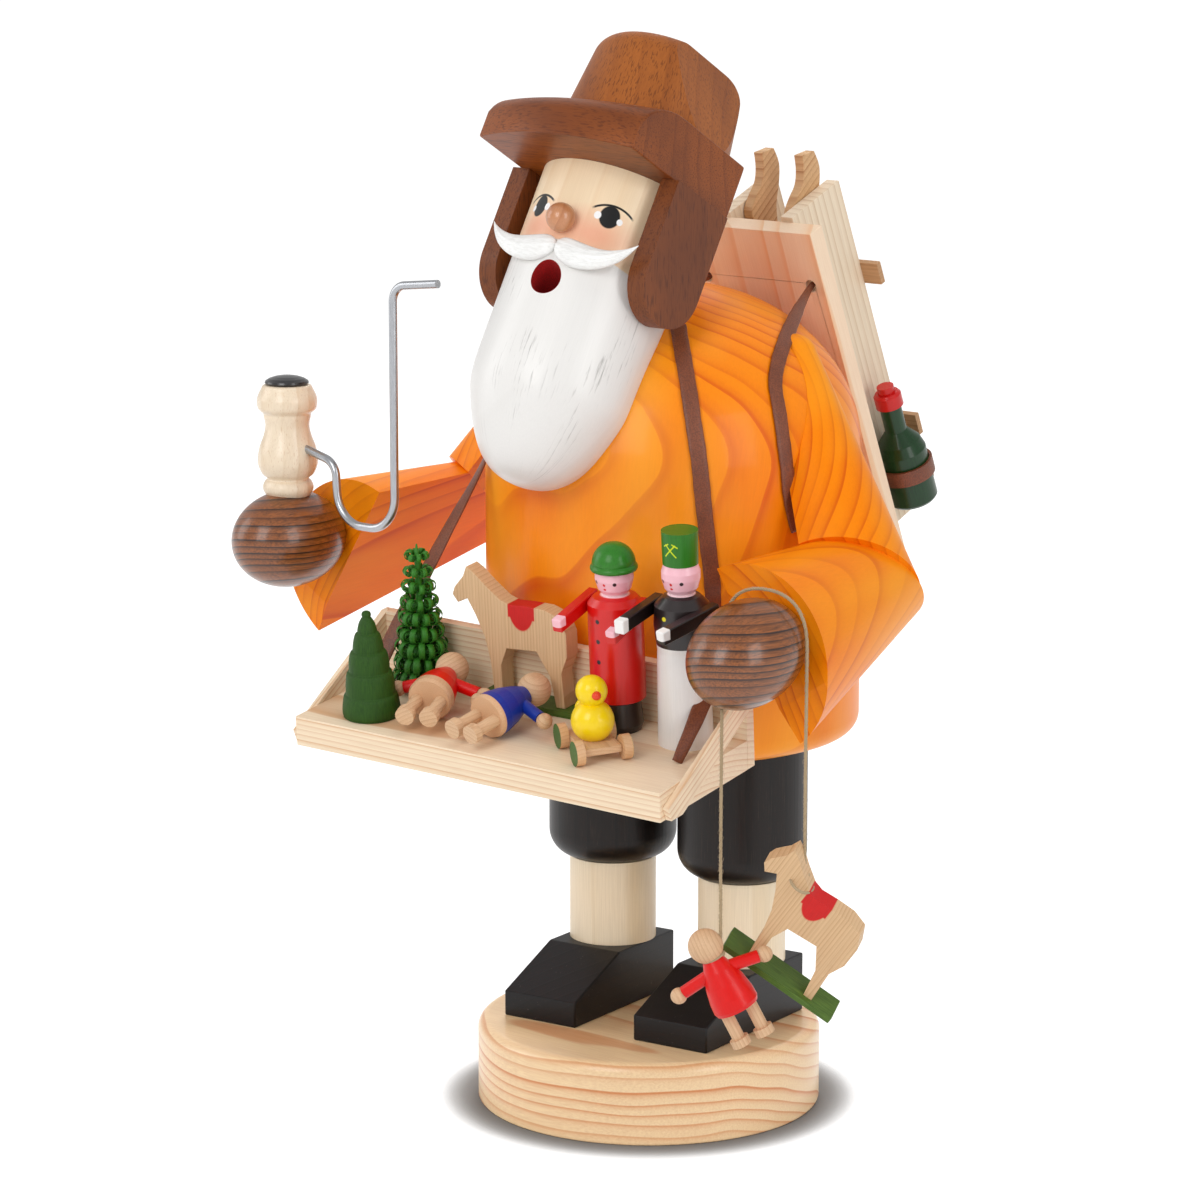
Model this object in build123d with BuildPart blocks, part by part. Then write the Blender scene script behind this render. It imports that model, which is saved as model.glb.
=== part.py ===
from build123d import *
from math import atan2, cos, degrees, radians, sin, tan
import os

# A turned wooden incense smoker: a bearded toy pedlar with a tray, a pipe and a back pack.
# Millimetres, +Z up, the origin at the centre of the base's underside, the figure faces -Y
# and its own left hand is on the +X side.

os.makedirs("parts", exist_ok=True)

# Clearances and cuts
FIT_GAP = 0.3
RUN_GAP = 0.1
OVERRUN = 5.0
SPIGOT_LENGTH = 6.0

# Base disc
BASE_DIAMETER = 160.0
BASE_HEIGHT = 38.0
BASE_TOP_ROUND = 5.0
BASE_FOOT_ROUND = 1.5

# Legs, turned a little to the figure's left, as one pair
LEG_TURN = 7.0
LEG_SPACING = 72.1
LEG_BACK = 24.0
SHOE_WIDTH = 40.0
SHOE_HEIGHT = 27.9
SHOE_TOE = 62.0
SHOE_HEEL = 23.0
SHOE_SLOPE = 37.5
SHOE_TOE_HEIGHT = 12.0
SHOE_EDGE = 1.2
STOCKING_DIAMETER = 41.0
STOCKING_HEIGHT = 40.0
BREECHES_DIAMETER = 60.5
BREECHES_HEIGHT = 70.0
BREECHES_ROUND = 13.0
DOWEL_DIAMETER = 10.0

# Coat: a hollow turned bell with an elliptic dome
COAT_DIAMETER = 173.2
COAT_BACK = 16.8
COAT_BOTTOM = 174.0
COAT_SHOULDER = 304.4
COAT_TOP = 381.8
COAT_EDGE_ROUND = 9.0
CHAMBER_DIAMETER = 126.0
CHAMBER_TOP = 318.0
CHAMBER_SHOULDER = 286.0
SEAT_DIAMETER = 142.0
SEAT_HEIGHT = 10.0

# Incense dish and cone on the seat board
DISH_DIAMETER = 40.0
DISH_HEIGHT = 6.0
DISH_WALL = 1.2
DISH_RECESS = 2.0
CONE_DIAMETER = 12.0
CONE_HEIGHT = 26.0

# Head and beard: one turned egg that leans back
HEAD_LEAN = 30.0
HEAD_FRONT = -57.6
HEAD_LEVEL = 357.2
HEAD_DIAMETER = 75.0
BEARD_LENGTH = 64.3
HEAD_TOP = 77.0
FACE_TURN = 10.0
MOUTH_DIAMETER = 14.5
MOUTH_STATION = 20.5
NOSE_DIAMETER = 13.2
NOSE_STATION = 47.0
NOSE_SINK = 2.0

# Moustache outline, as shares of half its width and of its height
MOUSTACHE_WIDTH = 78.0
MOUSTACHE_HEIGHT = 17.0
MOUSTACHE_THICKNESS = 5.0
MOUSTACHE_STATION = 37.5
MOUSTACHE_SWEEP = 16.0

# Hat
CROWN_FOOT_DIAMETER = 78.0
CROWN_TOP_DIAMETER = 68.0
CROWN_HEIGHT = 42.0
CROWN_SHIFT = 1.5
CROWN_ROUND = 11.0
CROWN_PINCH = 24.0
CROWN_PINCH_REACH = 38.5
BRIM_HALF_WIDTH = 45.0
BRIM_FRONT = 64.0
BRIM_FRONT_SIDE = 54.0
BRIM_BACK = 48.0
BRIM_BACK_SIDE = 20.0
BRIM_THICKNESS = 27.0
BRIM_LIP = 16.0
BRIM_SHELF = 28.0
BRIM_ROUND = 8.0
HAT_SPIGOT_DIAMETER = 40.0
FLAP_GAP = 1.2
FLAP_THICKNESS = 10.0
FLAP_WIDTH = 39.0
FLAP_LENGTH = 61.0
FLAP_SHIFT = 3.0
FLAP_EDGE = 2.0

# Arms: half round tapered limbs, mitred at the elbow, flat side to the body
ARM_TILT = 31.5
ARM_SIDE = 99.8
ARM_CUFF = -74.4
LEFT_ARM_LEVEL = 274.3
RIGHT_ARM_RAISE = 11.0
CUFF_RADIUS = 41.5
ARM_FLAT_SET = 4.0
SHOULDER_SET = 6.0
FOREARM_RISE = 11.5
FOREARM_TAPER = 9.5
FOREARM_LENGTH = 116.0
ELBOW_FRONT = 62.0
ELBOW_BACK = 115.0
ELBOW_DROP = 40.0
SHOULDER_RADIUS = 10.5
UPPER_ARM_LENGTH = 97.0
UPPER_ARM_LEAN = 11.3

# Hands: turned eggs on the cuffs
HAND_LENGTH = 60.0
HAND_DIAMETER = 45.0
HAND_REACH = 23.7
HAND_DROP_LEFT = 15.0
HAND_PLACE_LEFT = (135.4, -98.1, 245.0)
HAND_PLACE_RIGHT = (-135.4, -98.1, 262.7)

# Pipe: a turned bowl on the right hand and a bent wire stem
PIPE_FOOT = 281.5
PIPE_HEIGHT = 53.0
PIPE_BULGE_DIAMETER = 27.8
PIPE_TILT = 0.0
LID_DIAMETER = 20.4
LID_HEIGHT = 4.2
STEM_DIAMETER = 3.8
STEM_HOLE_DEPTH = 5.0

# Tray
TRAY_PLACE = (17.1, -139.5, 178.0)
TRAY_TURNS = (7.4, 3.6, 6.6)
TRAY_LENGTH = 194.0
TRAY_DEPTH = 70.5
TRAY_THICKNESS = 13.6
TRAY_BACK_THICKNESS = 5.5
TRAY_BACK_HEIGHT = 41.5
BRACE_WIDTH = 9.0
BRACE_THICKNESS = 3.2
BRACE_FOOT = 4.0
BRACE_LEAN = 26.5

# Straps of soft leather
STRAP_WIDTH = 7.5
STRAP_THICKNESS = 1.4

# Trees on the tray
TREE_PLACE = (-68.0, 18.5)
TREE_HEIGHT = 49.0
TREE_DIAMETER = 26.0
TREE_TIERS = 5
CURLED_PLACE = (-73.0, 57.0)
CURLED_HEIGHT = 62.0
CURLED_DIAMETER = 26.0
CURLED_TIERS = 9

# Toy horses
HORSE_PLACE = (-9.0, 62.5)
TOY_HORSE_LENGTH = 62.0
HORSE_LENGTH = 55.0
HORSE_HEIGHT = 59.0
HORSE_THICKNESS = 9.0
STAND_LENGTH = 56.0
STAND_WIDTH = 15.0
STAND_THICKNESS = 3.0

# Lying dolls
DOLL_HEAD_DIAMETER = 15.2
DOLL_BODY_DIAMETER = 20.5
DOLL_NECK_DIAMETER = 9.0
DOLL_BODY_LENGTH = 24.0
DOLL_LIMB_DIAMETER = 5.6
DOLL_LEG_LENGTH = 16.0
DOLL_FOOT_DIAMETER = 8.6
DOLL_FOOT_LENGTH = 3.6
DOLL_ARM_REACH = 20.5
DOLL_HAND_DIAMETER = 7.2
DOLL_PITCH = 8.0
RED_DOLL_PLACE = (-42.0, 34.0)
RED_DOLL_TURN = 15.0
BLUE_DOLL_PLACE = (-1.9, 29.0)
BLUE_DOLL_TURN = -10.0

# Standing figures
SOLDIER_PLACE = (39.0, 57.5)
SOLDIER_HEIGHT = 79.5
SOLDIER_DIAMETER = 24.5
MINER_PLACE = (74.0, 57.0)
MINER_HEIGHT = 85.5
MINER_DIAMETER = 25.0
FIGURE_HEAD_DIAMETER = 17.0
SOLDIER_HAT_DIAMETER = 21.0
MINER_HAT_DIAMETER = 15.6
MINER_HAT_HEIGHT = 15.0
FIGURE_ARM_SIZE = 6.4
FIGURE_ARM_LENGTH = 27.0

# Duck on its cart
CART_PLACE = (46.2, 26.2)
CART_LENGTH = 27.0
CART_WIDTH = 17.0
CART_THICKNESS = 3.0
CART_TURN = -38.0
WHEEL_DIAMETER = 11.0
WHEEL_THICKNESS = 4.0
AXLE_DIAMETER = 2.4
AXLE_SPACING = 23.5
DUCK_BODY_DIAMETER = 19.0
DUCK_HEAD_DIAMETER = 14.0
BEAK_DIAMETER = 4.0

# Back pack, leaning forward against the shoulders
PACK_PLACE = (0.0, 97.8, 331.4)
PACK_LEAN = 23.0
PACK_BOARD_WIDTH = 77.0
PACK_BOARD_THICKNESS = 9.5
PACK_BOARD_TOP = 76.5
PACK_BOARD_BOTTOM = 108.0
PACK_SIDE_REACH = 38.0
PACK_SIDE_PLACE = 22.0
PACK_SIDE_THICKNESS = 7.0
PACK_SIDE_TOP = 79.0
PACK_SIDE_BOTTOM = 96.0
LATH_WIDTH = 11.0
LATH_THICKNESS = 3.0
LATH_LENGTH = 64.0
LATH_LEVEL_SHARES = (0.14, -0.33, -0.47)
PACK_FLOOR_THICKNESS = 5.0

# Sled in the pack
SLED_LENGTH = 190.0
SLED_WIDTH = 24.0
RUNNER_THICKNESS = 5.0
RUNNER_DEPTH = 22.0
SLED_SET = 6.0
SLED_SLAT_WIDTH = 9.0
SLED_SLAT_THICKNESS = 2.5
SLED_SLATS = 4

# Bottle at the pack's side
BOTTLE_DIAMETER = 24.0
BOTTLE_HEIGHT = 62.0
BOTTLE_NECK_DIAMETER = 10.5
BOTTLE_CAP_DIAMETER = 13.4
BOTTLE_CAP_HEIGHT = 10.5
BOTTLE_LEVEL = -82.0
BOTTLE_BACK = 29.0
BOTTLE_LEAN = 23.0

# Hanging toys: their places are the points where the strings hold them
STRING_DIAMETER = 1.4
DOLL_STRING_PLACE = (129.7, -107.0)
DOLL_STRING_LENGTH = 107.6
HORSE_STRING_BACK = 13.1
HORSE_STRING_LENGTH = 100.0
HANG_TURN = 40.7
HANG_DOLL_ROLL = 27.0
HANG_DOLL_NECK = (-3.5, 1.5)
HANG_HORSE_TURNS = (-11.0, 0.0, -35.0)
HANG_HORSE_LEAN = 33.0
HANG_HORSE_HOLD_SHARES = (0.33, 0.80)

# Where the straps run
TRAY_STRAP_TOP = (50.0, -34.0, 345.0)
TRAY_STRAP_TURN = (66.5, -38.6, 241.9)
TRAY_STRAP_PLACE = (85.0, 32.5)
PACK_STRAP_POINTS = (
    (31.0, 80.4, 377.3), (63.4, 17.0, 358.4), (69.1, 5.5, 351.1), (73.6, -1.4, 343.2),
    (78.5, -4.6, 332.8), (82.3, -6.4, 320.0), (84.3, -6.0, 306.7), (84.8, -4.3, 293.0), (85.7, -0.3, 279.1),
)


def turned(plane, points, close_to_axis=True):
    """A solid turned about the plane's own Z: points are (radius, height) pairs."""
    frame = Plane(origin=plane.origin, x_dir=plane.x_dir, z_dir=-plane.y_dir)
    with BuildPart() as solid:
        with BuildSketch(frame):
            with BuildLine():
                Polyline(*points, close=True)
            make_face()
        revolve(axis=Axis(plane.origin, plane.z_dir))
    return solid.part


def ball(place, diameter, toward=(0, 0, 1)):
    """A sphere at a place in space, its pole toward a direction."""
    return Plane(origin=place, z_dir=toward) * Sphere(diameter / 2, mode=Mode.PRIVATE)


def in_frame(plane, x, y, z):
    """The world place of a point given in a plane's own directions."""
    return plane.from_local_coords(Vector(x, y, z))


def turned_plane(plane, x_angle, y_angle, z_angle):
    """A plane turned about its own directions, its origin kept."""
    return plane.moved(Location((0, 0, 0), (x_angle, y_angle, z_angle)))


def turned_about_z(vector, angle):
    """A vector turned about the vertical."""
    return Vector(*vector).rotate(Axis.Z, angle)


# Planes that the sub-parts are drawn on
LEG_PLANE = Plane(origin=(0, 0, 0), x_dir=turned_about_z((1, 0, 0), LEG_TURN), z_dir=(0, 0, 1))
COAT_PLANE = Plane(origin=(0, COAT_BACK, 0), x_dir=(1, 0, 0), z_dir=(0, 0, 1))
HEAD_AXIS = Vector(0, sin(radians(HEAD_LEAN)), cos(radians(HEAD_LEAN)))
HEAD_ORIGIN = (0, HEAD_FRONT, HEAD_LEVEL)
HEAD_PLANE = Plane(origin=HEAD_ORIGIN, x_dir=(1, 0, 0), z_dir=HEAD_AXIS)
FACE_PLANE = turned_plane(HEAD_PLANE, 0, 0, FACE_TURN)
TRAY_PLANE = Plane(Location(TRAY_PLACE, TRAY_TURNS))
PACK_PLANE = Plane(
    origin=PACK_PLACE,
    x_dir=(1, 0, 0),
    z_dir=(0, -sin(radians(PACK_LEAN)), cos(radians(PACK_LEAN))),
)
ARM_PLANE = Plane(
    origin=(ARM_SIDE, ARM_CUFF, LEFT_ARM_LEVEL),
    x_dir=(0, 1, 0),
    z_dir=(cos(radians(ARM_TILT)), 0, sin(radians(ARM_TILT))),
)

# Stand: base disc
with BuildPart() as base_disc:
    Cylinder(BASE_DIAMETER / 2, BASE_HEIGHT, align=(Align.CENTER, Align.CENTER, Align.MIN))
    fillet(base_disc.edges().group_by(Axis.Z)[-1], BASE_TOP_ROUND)
    fillet(base_disc.edges().group_by(Axis.Z)[0], BASE_FOOT_ROUND)
    with BuildSketch(LEG_PLANE.offset(BASE_HEIGHT)):
        with Locations((0, LEG_BACK)):
            with GridLocations(LEG_SPACING, 0, 2, 1):
                Circle(DOWEL_DIAMETER / 2 + RUN_GAP)
    extrude(amount=-BASE_HEIGHT / 2, mode=Mode.SUBTRACT)
base_disc.part.label = "base_disc"

SHOE_TOP = BASE_HEIGHT + SHOE_HEIGHT
STOCKING_TOP = SHOE_TOP + STOCKING_HEIGHT
BREECHES_TOP = STOCKING_TOP + BREECHES_HEIGHT


def leg_bore(height, top):
    """The bore for one dowel in each leg, down from the given level."""
    with BuildPart() as bores:
        with BuildSketch(LEG_PLANE.offset(top)):
            with Locations((0, LEG_BACK)):
                with GridLocations(LEG_SPACING, 0, 2, 1):
                    Circle(DOWEL_DIAMETER / 2 + RUN_GAP)
        extrude(amount=-height)
    return bores.part


with BuildPart() as shoes:
    for side in (-1, 1):
        middle = side * LEG_SPACING / 2
        profile_plane = Plane(
            origin=in_frame(LEG_PLANE, middle - SHOE_WIDTH / 2, LEG_BACK, BASE_HEIGHT),
            x_dir=LEG_PLANE.y_dir,
            z_dir=LEG_PLANE.x_dir,
        )
        with BuildSketch(profile_plane):
            with BuildLine():
                Polyline(
                    (-SHOE_TOE, 0),
                    (SHOE_HEEL, 0),
                    (SHOE_HEEL, SHOE_HEIGHT),
                    (SHOE_SLOPE - SHOE_TOE, SHOE_HEIGHT),
                    (-SHOE_TOE, SHOE_TOE_HEIGHT),
                    close=True,
                )
            make_face()
        extrude(amount=SHOE_WIDTH)
    chamfer(shoes.edges().filter_by(GeomType.LINE), SHOE_EDGE / 2)
    add(leg_bore(SHOE_HEIGHT, SHOE_TOP), mode=Mode.SUBTRACT)
shoes.part.label = "shoes"

with BuildPart() as stockings:
    with BuildSketch(LEG_PLANE.offset(SHOE_TOP)):
        with Locations((0, LEG_BACK)):
            with GridLocations(LEG_SPACING, 0, 2, 1):
                Circle(STOCKING_DIAMETER / 2)
                Circle(DOWEL_DIAMETER / 2 + RUN_GAP, mode=Mode.SUBTRACT)
    extrude(amount=STOCKING_HEIGHT)
stockings.part.label = "stockings"

with BuildPart() as breeches:
    with BuildSketch(LEG_PLANE.offset(STOCKING_TOP)):
        with Locations((0, LEG_BACK)):
            with GridLocations(LEG_SPACING, 0, 2, 1):
                Circle(BREECHES_DIAMETER / 2)
    extrude(amount=BREECHES_HEIGHT)
    fillet(breeches.edges().group_by(Axis.Z)[0], BREECHES_ROUND)
    add(leg_bore(BREECHES_HEIGHT, BREECHES_TOP), mode=Mode.SUBTRACT)
breeches.part.label = "breeches"

# The seat board joins both legs and locates the coat, which lifts off it
SEAT_BOTTOM = BREECHES_TOP
SEAT_TOP = SEAT_BOTTOM + SEAT_HEIGHT
with BuildPart() as seat_board:
    with BuildSketch(COAT_PLANE.offset(SEAT_BOTTOM)):
        Circle(SEAT_DIAMETER / 2 - FIT_GAP)
    extrude(amount=SEAT_HEIGHT)
    with BuildSketch(COAT_PLANE.offset(SEAT_TOP)):
        Circle(DISH_DIAMETER / 2 + FIT_GAP)
    extrude(amount=-DISH_RECESS, mode=Mode.SUBTRACT)
seat_board.part.label = "seat_board"

with BuildPart() as leg_dowels:
    with BuildSketch(LEG_PLANE.offset(BASE_HEIGHT / 2 + FIT_GAP)):
        with Locations((0, LEG_BACK)):
            with GridLocations(LEG_SPACING, 0, 2, 1):
                Circle(DOWEL_DIAMETER / 2)
    extrude(amount=BREECHES_TOP - BASE_HEIGHT / 2 - FIT_GAP)
leg_dowels.part.label = "leg_dowels"

DISH_BOTTOM = SEAT_TOP - DISH_RECESS
with BuildPart() as incense_dish:
    with BuildSketch(COAT_PLANE.offset(DISH_BOTTOM)):
        Circle(DISH_DIAMETER / 2)
    extrude(amount=DISH_HEIGHT)
    with BuildSketch(COAT_PLANE.offset(DISH_BOTTOM + DISH_WALL)):
        Circle(DISH_DIAMETER / 2 - DISH_WALL)
    extrude(amount=DISH_HEIGHT, mode=Mode.SUBTRACT)
incense_dish.part.label = "incense_dish"

CONE_BOTTOM = DISH_BOTTOM + DISH_WALL
with BuildPart() as incense_cone:
    with BuildSketch(COAT_PLANE.offset(CONE_BOTTOM)):
        Circle(CONE_DIAMETER / 2)
    with BuildSketch(COAT_PLANE.offset(CONE_BOTTOM + CONE_HEIGHT)):
        Circle(CONE_DIAMETER / 12)
    loft()
incense_cone.part.label = "incense_cone"


# Coat
def bell(radius, bottom, shoulder, top, edge_round):
    """A turned bell: a straight wall with a rounded lower edge and an elliptic dome."""
    frame = Plane(origin=(0, COAT_BACK, 0), x_dir=(1, 0, 0), z_dir=(0, -1, 0))
    with BuildPart() as solid:
        with BuildSketch(frame):
            with BuildLine():
                Line((0, bottom), (radius - edge_round, bottom))
                if edge_round > 0:
                    RadiusArc(
                        (radius - edge_round, bottom), (radius, bottom + edge_round), -edge_round
                    )
                Line((radius, bottom + edge_round), (radius, shoulder))
                EllipticalCenterArc((0, shoulder), radius, top - shoulder, start_angle=0, arc_size=90)
                Line((0, top), (0, bottom))
            make_face()
        revolve(axis=Axis((0, COAT_BACK, 0), (0, 0, 1)))
    return solid.part


COAT_RADIUS = COAT_DIAMETER / 2
coat_solid = bell(COAT_RADIUS, COAT_BOTTOM, COAT_SHOULDER, COAT_TOP, COAT_EDGE_ROUND)
coat_envelope = bell(
    COAT_RADIUS + RUN_GAP, COAT_BOTTOM - RUN_GAP, COAT_SHOULDER, COAT_TOP + RUN_GAP, COAT_EDGE_ROUND
)
chamber = bell(CHAMBER_DIAMETER / 2, SEAT_TOP, CHAMBER_SHOULDER, CHAMBER_TOP, 0)

# Head and beard
HEAD_RADIUS = HEAD_DIAMETER / 2
with BuildPart() as head_core:
    with BuildSketch(Plane(origin=HEAD_ORIGIN, x_dir=HEAD_PLANE.x_dir, z_dir=-HEAD_PLANE.y_dir)):
        with BuildLine():
            beard_line = Spline(
                (0, -BEARD_LENGTH),
                (HEAD_RADIUS * 0.63, -BEARD_LENGTH * 0.82),
                (HEAD_RADIUS * 0.915, -BEARD_LENGTH * 0.5),
                (HEAD_RADIUS, 0),
                tangents=((1, 0), (0, 1)),
            )
            Line((HEAD_RADIUS, 0), (HEAD_RADIUS, HEAD_TOP))
            Line((HEAD_RADIUS, HEAD_TOP), (0, HEAD_TOP))
            Line((0, HEAD_TOP), (0, -BEARD_LENGTH))
        make_face()
    revolve(axis=Axis(HEAD_ORIGIN, HEAD_AXIS))

# One straight bore leads from the mouth down into the chamber
MOUTH_POINT = in_frame(FACE_PLANE, 0, -HEAD_RADIUS, MOUTH_STATION)
CHAMBER_POINT = Vector(0, COAT_BACK - CHAMBER_DIAMETER / 8, CHAMBER_SHOULDER)
SMOKE_PATH = CHAMBER_POINT - MOUTH_POINT
SMOKE_PLANE = Plane(origin=MOUTH_POINT - SMOKE_PATH.normalized() * OVERRUN * 2, z_dir=SMOKE_PATH)
with BuildPart() as smoke_bore:
    with BuildSketch(SMOKE_PLANE):
        Circle(MOUTH_DIAMETER / 2)
    extrude(amount=SMOKE_PATH.length + OVERRUN * 2)

NOSE_POINT = in_frame(FACE_PLANE, 0, -HEAD_RADIUS - NOSE_DIAMETER / 2 + NOSE_SINK, NOSE_STATION)
with BuildPart() as nose:
    add(ball(NOSE_POINT, NOSE_DIAMETER))
nose.part.label = "nose"

with BuildPart() as head:
    add(head_core.part)
    with BuildSketch(HEAD_PLANE.offset(HEAD_TOP)):
        Circle(HAT_SPIGOT_DIAMETER / 2)
    extrude(amount=BRIM_THICKNESS + SPIGOT_LENGTH)
    add(smoke_bore.part, mode=Mode.SUBTRACT)
    add(nose.part, mode=Mode.SUBTRACT)
head.part.label = "head"

with BuildPart() as coat:
    add(coat_solid)
    add(chamber, mode=Mode.SUBTRACT)
    with BuildSketch(COAT_PLANE.offset(COAT_BOTTOM)):
        Circle(SEAT_DIAMETER / 2)
    extrude(amount=SEAT_TOP - COAT_BOTTOM, mode=Mode.SUBTRACT)
    add(head_core.part, mode=Mode.SUBTRACT)
    add(smoke_bore.part, mode=Mode.SUBTRACT)
coat.part.label = "coat"

# Hat brim, cut straight at both sides: its top falls toward the front and the back
with BuildPart() as brim_shape:
    brim_side = Plane(origin=HEAD_ORIGIN, x_dir=-HEAD_PLANE.y_dir, z_dir=-HEAD_PLANE.x_dir)
    with BuildSketch(brim_side) as brim_profile:
        with BuildLine():
            Polyline(
                (-BRIM_BACK, HEAD_TOP),
                (BRIM_FRONT, HEAD_TOP),
                (BRIM_FRONT, HEAD_TOP + BRIM_LIP),
                (BRIM_SHELF, HEAD_TOP + BRIM_THICKNESS),
                (-BRIM_SHELF, HEAD_TOP + BRIM_THICKNESS),
                (-BRIM_BACK, HEAD_TOP + BRIM_LIP),
                close=True,
            )
        make_face()
        fillet(brim_profile.vertices().filter_by(lambda v: v.Y > HEAD_TOP + BRIM_LIP / 2), BRIM_ROUND)
    extrude(amount=BRIM_HALF_WIDTH, both=True)

with BuildPart() as hat_brim:
    with BuildSketch(HEAD_PLANE.offset(HEAD_TOP)):
        with BuildLine():
            ThreePointArc(
                (-BRIM_HALF_WIDTH, -BRIM_FRONT_SIDE), (0, -BRIM_FRONT), (BRIM_HALF_WIDTH, -BRIM_FRONT_SIDE)
            )
            Line((BRIM_HALF_WIDTH, -BRIM_FRONT_SIDE), (BRIM_HALF_WIDTH, BRIM_BACK_SIDE))
            ThreePointArc(
                (BRIM_HALF_WIDTH, BRIM_BACK_SIDE), (0, BRIM_BACK), (-BRIM_HALF_WIDTH, BRIM_BACK_SIDE)
            )
            Line((-BRIM_HALF_WIDTH, BRIM_BACK_SIDE), (-BRIM_HALF_WIDTH, -BRIM_FRONT_SIDE))
        make_face()
        Circle(HAT_SPIGOT_DIAMETER / 2, mode=Mode.SUBTRACT)
    extrude(amount=BRIM_THICKNESS)
    add(brim_shape.part, mode=Mode.INTERSECT)
hat_brim.part.label = "hat_brim"

# Hat crown: a turned cone with a rounded top, pinched by a flat at each side
BRIM_TOP = HEAD_TOP + BRIM_THICKNESS
CROWN_PLANE = Plane(
    origin=in_frame(HEAD_PLANE, 0, CROWN_SHIFT, BRIM_TOP), x_dir=HEAD_PLANE.x_dir, z_dir=HEAD_AXIS
)
with BuildPart() as hat_crown:
    with BuildSketch(CROWN_PLANE):
        Circle(CROWN_FOOT_DIAMETER / 2)
    with BuildSketch(CROWN_PLANE.offset(CROWN_HEIGHT)):
        Circle(CROWN_TOP_DIAMETER / 2)
    loft()
    fillet(hat_crown.faces().sort_by(Axis(HEAD_ORIGIN, HEAD_AXIS))[-1].edges(), CROWN_ROUND)
    for side in (-1, 1):
        pinch_plane = Plane(
            origin=in_frame(CROWN_PLANE, side * CROWN_PINCH_REACH, 0, 0),
            x_dir=HEAD_PLANE.y_dir,
            z_dir=(HEAD_PLANE.x_dir * side).rotate(
                Axis((0, 0, 0), HEAD_PLANE.y_dir), -side * CROWN_PINCH
            ),
        )
        with BuildSketch(pinch_plane):
            Rectangle(CROWN_FOOT_DIAMETER * 2, CROWN_HEIGHT * 4)
        extrude(amount=CROWN_FOOT_DIAMETER / 2, mode=Mode.SUBTRACT)
    with BuildSketch(HEAD_PLANE.offset(BRIM_TOP)):
        Circle(HAT_SPIGOT_DIAMETER / 2)
    extrude(amount=SPIGOT_LENGTH, mode=Mode.SUBTRACT)
hat_crown.part.label = "hat_crown"


def ear_flap(side):
    """A board with a rounded lower end that hangs under the brim's side."""
    inner = HEAD_RADIUS + FLAP_GAP
    frame = Plane(
        origin=in_frame(HEAD_PLANE, side * inner, -FLAP_SHIFT, HEAD_TOP),
        x_dir=HEAD_PLANE.y_dir * side,
        z_dir=HEAD_PLANE.x_dir * side,
    )
    with BuildPart() as flap:
        with BuildSketch(frame):
            with BuildLine():
                Line((-FLAP_WIDTH / 2, 0), (FLAP_WIDTH / 2, 0))
                Line((FLAP_WIDTH / 2, 0), (FLAP_WIDTH / 2, FLAP_WIDTH / 2 - FLAP_LENGTH))
                ThreePointArc(
                    (FLAP_WIDTH / 2, FLAP_WIDTH / 2 - FLAP_LENGTH),
                    (0, -FLAP_LENGTH),
                    (-FLAP_WIDTH / 2, FLAP_WIDTH / 2 - FLAP_LENGTH),
                )
                Line((-FLAP_WIDTH / 2, FLAP_WIDTH / 2 - FLAP_LENGTH), (-FLAP_WIDTH / 2, 0))
            make_face()
        extrude(amount=FLAP_THICKNESS)
        add(coat_envelope, mode=Mode.SUBTRACT)
    return flap.part


with BuildPart() as right_ear_flap:
    add(ear_flap(-1))
right_ear_flap.part.label = "right_ear_flap"

with BuildPart() as left_ear_flap:
    add(ear_flap(1))
left_ear_flap.part.label = "left_ear_flap"

# Moustache: two wings that meet under the nose and turn up at their tips
WING = MOUSTACHE_WIDTH / 2
with BuildPart() as moustache:
    for side in (-1, 1):
        wing_plane = Plane(
            origin=in_frame(FACE_PLANE, 0, -HEAD_RADIUS - MOUSTACHE_THICKNESS, MOUSTACHE_STATION),
            x_dir=FACE_PLANE.x_dir,
            z_dir=FACE_PLANE.y_dir,
        )
        with BuildSketch(wing_plane):
            with BuildLine():
                Spline(
                    (0, -MOUSTACHE_HEIGHT * 0.05),
                    (-side * WING * 0.3, -MOUSTACHE_HEIGHT * 0.22),
                    (-side * WING * 0.68, MOUSTACHE_HEIGHT * 0.12),
                    (-side * WING, -MOUSTACHE_HEIGHT * 0.12),
                )
                Spline(
                    (-side * WING, -MOUSTACHE_HEIGHT * 0.12),
                    (-side * WING * 0.72, MOUSTACHE_HEIGHT * 0.62),
                    (-side * WING * 0.3, MOUSTACHE_HEIGHT * 0.66),
                    (0, MOUSTACHE_HEIGHT * 0.3),
                )
                Line((0, MOUSTACHE_HEIGHT * 0.3), (0, -MOUSTACHE_HEIGHT * 0.05))
            make_face()
        extrude(amount=MOUSTACHE_SWEEP)
    add(head_core.part, mode=Mode.SUBTRACT)
    add(nose.part, mode=Mode.SUBTRACT)
    add(smoke_bore.part, mode=Mode.SUBTRACT)
    add(left_ear_flap.part, mode=Mode.SUBTRACT)
    add(right_ear_flap.part, mode=Mode.SUBTRACT)
moustache.part.label = "moustache"

# Arms
CUFF_MIDDLE = Vector(0, -CUFF_RADIUS)


def arm_cone(start, end, start_radius, end_radius):
    """A turned cone between two places given in the arm's plane and outward from it."""
    origin = in_frame(ARM_PLANE, *start)
    direction = in_frame(ARM_PLANE, *end) - origin
    length = direction.length
    frame = Plane(origin=origin, x_dir=ARM_PLANE.z_dir, z_dir=direction)
    profile = ((0, 0), (start_radius, 0), (end_radius, length), (0, length))
    return turned(frame, profile)


def arm_block(points):
    """The outline of one arm piece on the flat plane, run outward."""
    with BuildPart() as block:
        with BuildSketch(ARM_PLANE):
            with BuildLine():
                Polyline(*points, close=True)
            make_face()
        extrude(amount=COAT_RADIUS)
    return block.part


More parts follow.
